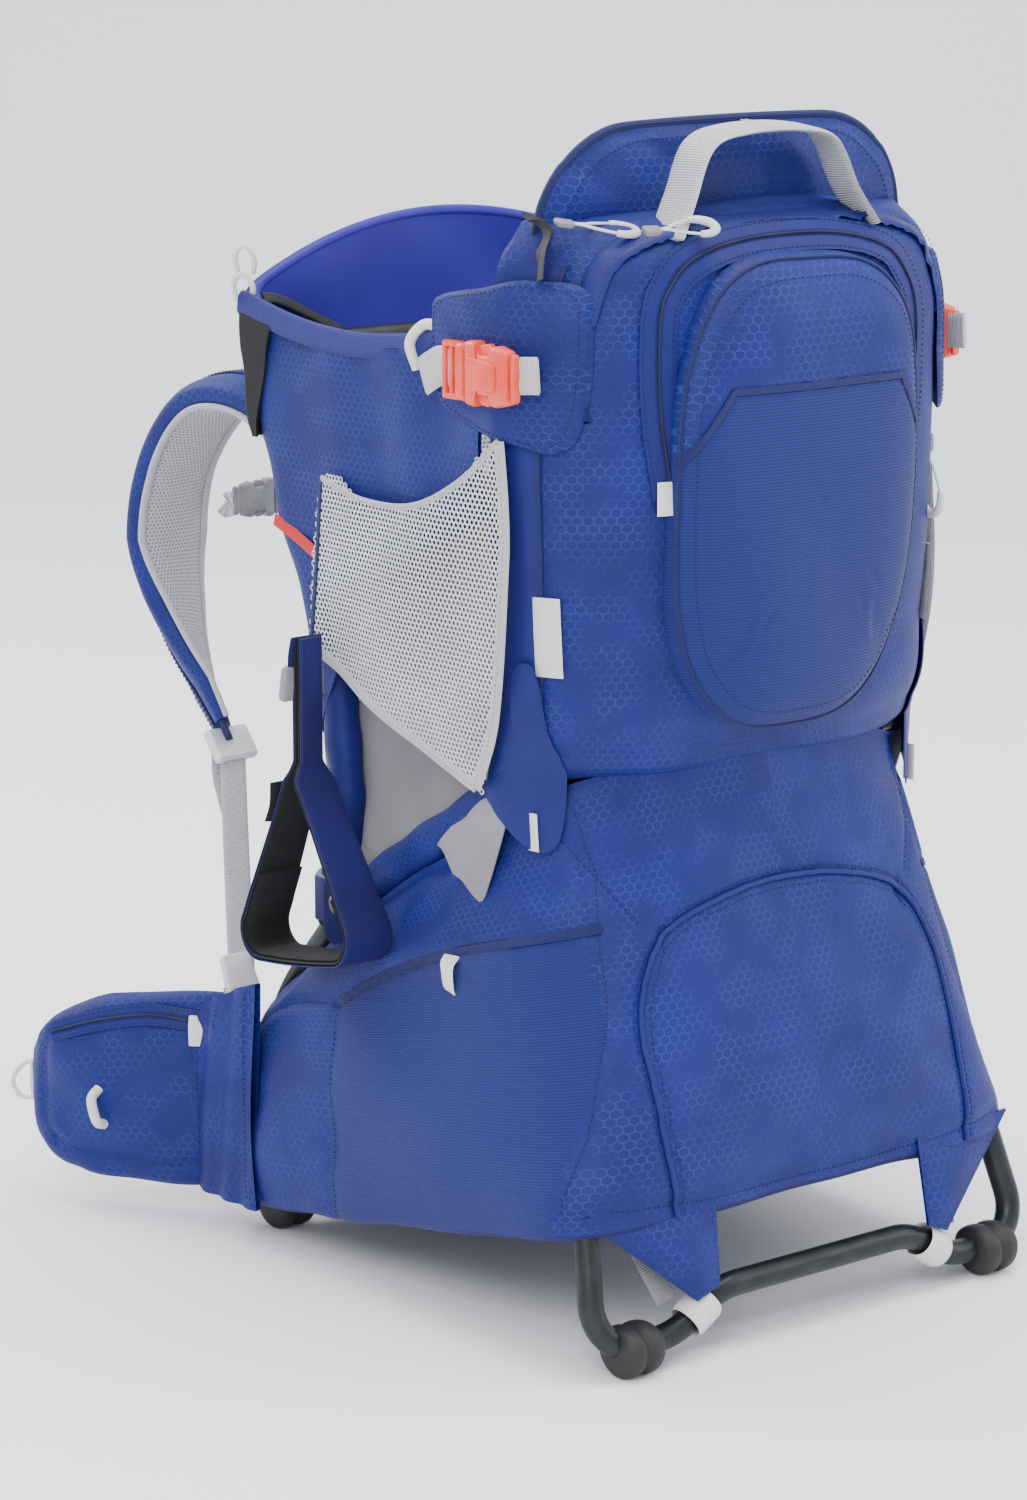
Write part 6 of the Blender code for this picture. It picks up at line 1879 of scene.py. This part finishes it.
        # load lifter from the strap's top back to the cockpit's corner
        top = np.array([s * 0.096, 0.256, 0.545])
        anchor = np.array([s * 0.146, 0.196, 0.560])
        lifter = smoothPath([top, (top + anchor) / 2 + (0, 0.002, -0.002), anchor], 0.003)
        webbing("loadLifter_" + name, lifter, 0.014, 0.0016, (0.5, -0.2, 1), paleWebbing, "harness")
        spot = np.array([s * 0.110, 0.243, 0.551])
        loop = smoothPath([spot, spot + (s * 0.004, 0.004, 0.012), spot + (s * 0.010, 0.000, 0.020),
                           spot + (s * 0.012, -0.008, 0.012),
                           spot + (s * 0.010, -0.010, 0.002)], 0.0015)
        webbing("lifterLoop_" + name, loop, 0.012, 0.0016, (0.6, 1, 0), whiteTape, "harness")
        finishNodes(["strap_lock_" + name], acetalPale)
        # tongue below the strap that carries the lock
        end = np.array([s * 0.114, 0.2915, 0.313])
        run = unit(along[-1])
        tongue = smoothPath([end - run * 0.030, end - run * 0.010, end + run * 0.012], 0.003)
        webbing("strapTongue_" + name, tongue, 0.034, 0.0050, across[-1], darkNylon, "harness")
        first = end + run * 0.016
        last = np.array([s * 0.161, 0.2065, 0.171])
        lower = smoothPath([first, (first + last) / 2 + (0, 0, -0.006), last], 0.004)
        webbing("lowerWeb_" + name, lower, 0.020, 0.0020, (1, 0, 0), paleWebbing, "harness",
                slot="webbing_pale",
                stands=["lower_web_" + name], blend=("carrier", tuple(first + home - (0, 0, 0.02)),
                                                     tuple(last + home + (0, 0, 0.01))))
        tail = smoothPath([end + run * 0.018 + (s * 0.004, 0.006, 0.004),
                           end + run * 0.036 + (s * 0.006, 0.014, -0.004),
                           end + run * 0.060 + (s * 0.006, 0.016, -0.016)], 0.003)
        webbing("strapTail_" + name, tail, 0.019, 0.0016, (1, 0, 0), paleWebbing, "harness")
    # chest strap: the right web stretches to the plug
    for name, s in bothSides:
        blend = None
        box = low("sternum_web_" + name), high("sternum_web_" + name)
        y, z = (box[0][1] + box[1][1]) / 2 - midY, (box[0][2] + box[1][2]) / 2
        xs = np.linspace(box[0][0], box[1][0], 24)
        path = np.stack([xs, y + 0 * xs, z - 0.002 * np.sin((xs - xs[0]) / (xs[-1] - xs[0]) * math.pi)], 1)
        if s > 0:
            blend = ("sternum_plug", tuple(path[-1] + home - (0.002, 0, 0)),
                     tuple(path[0] + home + (0.010, 0, 0)))
        webbing("sternumWeb_" + name, path, 0.018, 0.0020, (0, 0, 1), paleWebbing, "harness",
                slot="webbing_pale",
                stands=["sternum_web_" + name], blend=blend)
    sideRelease("sternumBuckle", "sternum_buckle_plug", "sternum_buckle_socket", acetalGrey, "sternum_plug",
                "harness", (1, 0, 0),
                (0, 1, 0))


makeHarness()
print("harness made")


# the hip belt: shape rows give place along the wing, fatness, height and drop
belt = dict(root=(0.161, 0.2105), reach=0.150, turn=38, halfThick=0.0205, halfTall=0.0665, middle=0.0875)
beltShape = np.array([(0, 0.55, 1.0, 0), (0.15, 0.85, 1.0, 0), (0.45, 1.0, 0.98, 0.002),
                      (0.72, 0.98, 0.86, 0.006),
                      (0.90, 0.74, 0.66, 0.008), (0.97, 0.46, 0.48, 0.008), (1.0, 0.16, 0.34, 0.008)])


def beltPoint(s, t):
    a, reach, (x, y) = math.radians(belt["turn"]), belt["reach"], belt["root"]
    return np.stack([s * (x + reach * (math.sin(a) * t - 0.10 * t ** 2)),
                     y + reach * (math.cos(a) * t + 0.08 * t ** 2)], -1)


def beltGrid(s):
    t = np.linspace(0, 1, 74)
    place = beltPoint(s, t)
    along = unit(np.gradient(place, axis=0))
    out = np.stack([along[:, 1], -along[:, 0]], 1) * s
    fat, tall, drop = (easeThrough(beltShape[:, 0], beltShape[:, k], t) for k in (1, 2, 3))
    angle = np.linspace(0, 2 * math.pi, 113)
    across, up = np.cos(angle), np.sin(angle)
    across = np.sign(across) * abs(across) ** 0.62
    up = np.sign(up) * abs(up) ** 0.72
    halfT, halfH = belt["halfThick"] * fat, belt["halfTall"] * tall
    bulge = np.where(across > 0, 1.0, 0.72)
    xy = place[:, None] + out[:, None] * (halfT[:, None] * across[None] * bulge)[..., None]
    z = (belt["middle"] - drop)[:, None] + halfH[:, None] * up[None]
    grid = np.concatenate([xy, z[..., None]], -1)
    ends = [part.mean(1, keepdims=True) + 0 * part for part in (grid[:1], grid[-1:])]
    return np.concatenate([ends[0], grid, ends[1]]), place, out


def makeHipBelt():
    for name, s in bothSides:
        grid, place, out = beltGrid(s)
        tree = meshTree(grid)

        def on(points, tree=tree, s=s):
            # (t along the belt, height) pairs dropped onto the outer face
            t, z = np.array(points).T
            even = np.linspace(0, 1, len(out))
            spot = beltPoint(s, t)
            raw = np.column_stack([spot + readAt(t, even, out) * 0.10, z])
            raw = smoothPath(raw, 0.003)
            ways = readAt(np.linspace(0, 1, len(raw)) * (t[-1] - t[0]) + t[0], even, out)
            hits, normals = [], []
            for k, point in enumerate(raw):
                w = Vector((*ways[k], 0))
                hit = tree.ray_cast(Vector(point + home), -w)
                if hit[0] is None:
                    hit = tree.find_nearest(Vector(point + home - np.array(w) * 0.08))
                hits.append(hit[0])
                normals.append(hit[1] if hit[1].dot(w) > 0 else -hit[1])
            return np.array(hits) - home, unit(np.array(normals))

        zipTop = on([(0.10, 0.136), (0.35, 0.139), (0.60, 0.132), (0.84, 0.119)])
        front = on([(0.86, 0.116), (0.89, 0.090), (0.88, 0.060), (0.83, 0.044)])
        lowSeam = on([(0.10, 0.040), (0.40, 0.036), (0.70, 0.040), (0.84, 0.046)])
        rootSeam = on([(0.06, 0.140), (0.055, 0.090), (0.06, 0.036)])
        grid = puff(grid, nearSeams([zipTop[0], front[0], lowSeam[0], rootSeam[0], grid[1]], 0.004),
                    cap=0.006)
        grid = creased(grid, [zipTop[0], front[0], lowSeam[0], rootSeam[0]], depth=0.0021, width=0.0045,
                       waves=0.0014, size=0.07, seed=17)

        def choose(centre, place=place, out=out):
            near = np.argmin(((centre[:, None, :2] - place[None]) ** 2).sum(-1), 1)
            depth = np.sum((centre[:, :2] - place[near]) * out[near], -1)
            return (depth < -0.003).astype(int)

        run = runOf(grid[:, 0])
        around = runOf(grid[30])
        uv = np.stack(np.broadcast_arrays(run[:, None], around[None, :]), -1)
        made = addPiece("hipbeltWing_" + name, (grid, uv), [ripstop, spacer], "hipbelt_" + name,
                        slot="fabric_blue",
                        stands=["hipbelt_wing_" + name], choose=choose)
        coilZip("hipbeltZip_" + name, zipTop[0] + zipTop[1] * 0.0004, zipTop[1], "hipbelt_" + name,
                width=0.014)
        stitches("hipbeltStitching_" + name, [(l + n * 0.0004, n) for l, n in (front, lowSeam, rootSeam)],
                 threadDark, "hipbelt_" + name)
        end = zipTop[0][3] + zipTop[1][3] * 0.003
        path = smoothPath([end + (0, 0, 0.004), end + zipTop[1][3] * 0.004 + (0, 0, -0.004),
                           end + zipTop[1][3] * 0.003 + (0, 0, -0.016)], 0.002)
        webbing("hipbeltZipTab_" + name, path, 0.011, 0.0016, tangents(zipTop[0])[3], whiteTape,
                "hipbelt_" + name)
        spot, n = on([(0.60, 0.078), (0.62, 0.070)])
        spot, n = spot[0], n[0]
        aside = unit(np.cross(n, (0, 0, 1)))
        loop = smoothPath([spot + (0, 0, 0.008), spot + n * 0.007 + aside * 0.002 + (0, 0, 0.002),
                           spot + n * 0.008 - aside * 0.002 + (0, 0, -0.012),
                           spot + n * 0.001 - aside * 0.004 + (0, 0, -0.016)], 0.0015)
        cordTube("hipbeltLoop_" + name, loop, 0.0034, whiteTape, "hipbelt_" + name, sides=12)
        tip = grid[-6].mean(0)
        ahead = unit(np.append(place[-1] - place[-4], 0))
        loop = smoothPath([tip + (0, 0, 0.014), tip + ahead * 0.016 + (0, 0, 0.010),
                           tip + ahead * 0.026 + (0, 0, -0.004),
                           tip + ahead * 0.018 + (0, 0, -0.014), tip + (0, 0, -0.010)], 0.0015)
        cordTube("hipbeltTipCord_" + name, loop, 0.0016, whiteTape, "hipbelt_" + name, sides=8)
        at = beltPoint(s, np.array([1.0]))[0]
        offsets = [(0, 0.0035), (-s * 0.016, 0.014), (-s * 0.040, 0.010), (-s * 0.058, 0.004)]
        path = smoothPath([(at[0] + dx, at[1] + dy, 0.0775) for dx, dy in offsets], 0.003)
        webbing("hipbeltWebbing_" + name, path, 0.024, 0.0020, (0, 0, 1), paleWebbing, "hipbelt_" + name,
                slot="webbing_pale",
                stands=["hipbelt_web_" + name])
        # root panel: cloth from the pack's front corner over the frame tube to the belt
        v, u = spread(46, 34)
        topEdge = 0.178 - 0.030 * u ** 1.2
        z = 0.022 + 0.004 * (1 - u) + (topEdge - 0.026) * v
        y = 0.150 + (0.224 - 0.150) * u
        x = 0.1895 - 0.006 * u ** 2 + 0.0035 * np.sin(v * math.pi) * (0.4 + u) + 0.0016 * np.sin(u * 17 + v
                                                                                                 * 5)
        face = np.stack([s * (x + 0 * v), y + 0 * v, z + 0 * u], -1)
        shell = closedSheet(face, 0.005)
        turning = ("hipbelt_" + name, (s * 0.17, 0.182 + midY, 0.09), (s * 0.17, 0.226 + midY, 0.09))
        root = addPiece("hipbeltRoot_" + name, (shell, shell[..., [1, 2]]), ripstop, "carrier",
                        slot="fabric_blue",
                        blend=turning)
        tree = treeOf(root)
        seams = [drawn(tree, [(k, 0.172), (k + 0.003, 0.10), (k, 0.032)], s * 0.4, 0, (-s, 0, 0),
                       lift=0.0004) for k in (0.158, 0.214)]
        stitches("hipbeltRootStitching_" + name, seams, threadDark, "carrier", blend=turning)
        # side adjuster where the harness web joins the belt
        spot = np.array([s * 0.163, 0.2065, 0.168])
        plate("webAdjuster_" + name, [(-0.013, -0.014), (0.013, -0.014), (0.011, 0.014), (-0.011, 0.014)],
              [0.003] * 4, 0.0055,
              spot, np.array([1.0, 0, 0]), unit(np.array([0, 0.45, 0.9])), acetalPale, "carrier")
        path = smoothPath([spot + (0, 0.002, -0.010), spot + (s * 0.004, -0.008, -0.030),
                           spot + (s * 0.002, -0.016, -0.046)], 0.003)
        webbing("webAnchor_" + name, path, 0.022, 0.0024, (1, 0, 0), paleWebbing, "carrier")
        # short blue wedge that carries the anchor on the belt's root
        path = smoothPath([spot + (s * 0.002, -0.020, -0.034), spot + (s * 0.000, -0.030, -0.060)], 0.003)
        webbing("anchorPatch_" + name, path, 0.030, 0.0028, (1, 0, 0), plainNylon, "carrier")
    finishNodes(["hipbelt_plug", "hipbelt_socket"], acetalPale)


makeHipBelt()
print("hip belt made")


# stirrups on doubled webbing
stirrup = dict(out=0.1925, wide=0.030, narrow=0.013, flare=0.006, thick=0.0019)


def makeStirrups():
    for name, s in bothSides:
        body = "stirrup_" + name
        x = s * stirrup["out"]
        corners = [(x, 0.089, 0.415), (x, 0.089, 0.330), (x, 0.146, 0.203), (x, 0.014, 0.223),
                   (x, 0.083, 0.330), (x, 0.083, 0.415)]
        path = roundedPath(corners, [0, 0.02, 0.016, 0.016, 0.02, 0], 0.0025)
        path[:, 2] = path[:, 2] - 0.003 * np.sin(np.clip((path[:, 1] - 0.014) / 0.132, 0,
                                                         1) * math.pi) * (path[:, 2] < 0.24)
        along = tangents(path)
        out = unit(np.cross(along, (s * 1.0, 0, 0)))
        middle = path.mean(0)
        out = out * np.sign(np.sum(out * (path - middle), 1).mean())
        sole = path[:, 2] < 0.262
        wide = stirrup["wide"] - stirrup["narrow"] * np.clip((path[:, 2] - 0.325) / 0.012, 0, 1)
        wide = wide + stirrup["flare"] * np.clip((0.30 - path[:, 2]) / 0.07, 0, 1)
        for label, offset, finish, slot in (("Outer", 0.0008, darkNylon, "fabric_dark_blue"),
                                            ("Inner", -0.0012, blackBrushed, None)):
            part = path + out * offset
            thick = stirrup["thick"]
            profile = softRect(1.0, 1.0, 4.0, 20)[None] * np.stack([wide, np.full(len(wide), thick)],
                                                                   1)[:, None]
            addPiece("stirrup%s_%s" % (label, name), sweep(part, profile, (1, 0, 0)), finish, body,
                     slot=slot,
                            stands=["stirrup_" + name] if label == "Outer" else ())
        rows = [(path + np.stack([k * (wide / 2 - 0.0028), 0 * wide, 0 * wide], 1) + out * 0.0019,
                 out) for k in (1, -1)]
        stitches("stirrupStitching_" + name, rows, threadDark, body)
        rib = path[sole]
        pad = sweep(rib - out[sole] * 0.0034, softRect(0.034, 0.0034, 3.0, 20), (1, 0, 0))
        addPiece("stirrupPad_" + name, pad, blackBrushed, body)
        # adjuster, keeper and hanging tab at the top
        plate("stirrupAdjuster_" + name, [(-0.017, -0.011), (0.017, -0.011), (0.015, 0.011),
                                          (-0.015, 0.011)], [0.003] * 4, 0.0050,
              (x, 0.0915, 0.386), np.array([1.0, 0, 0]), unit(np.array([0, -0.05, 1])), acetalGrey, body)
        top = smoothPath([(x, 0.0900, 0.392), (x, 0.0895, 0.404), (x, 0.0865, 0.4155)], 0.002)
        webbing("stirrupHanger_" + name, top, 0.024, 0.0018, (1, 0, 0), darkNylon, body)
        keeper = smoothPath([(x, 0.1025, 0.322), (x, 0.1035, 0.308), (x, 0.1090, 0.296)], 0.002)
        webbing("stirrupKeeper_" + name, keeper, 0.035, 0.0016, (1, 0, 0), blackTape, body)


makeStirrups()
print("stirrups made")


# the end
print("finished")
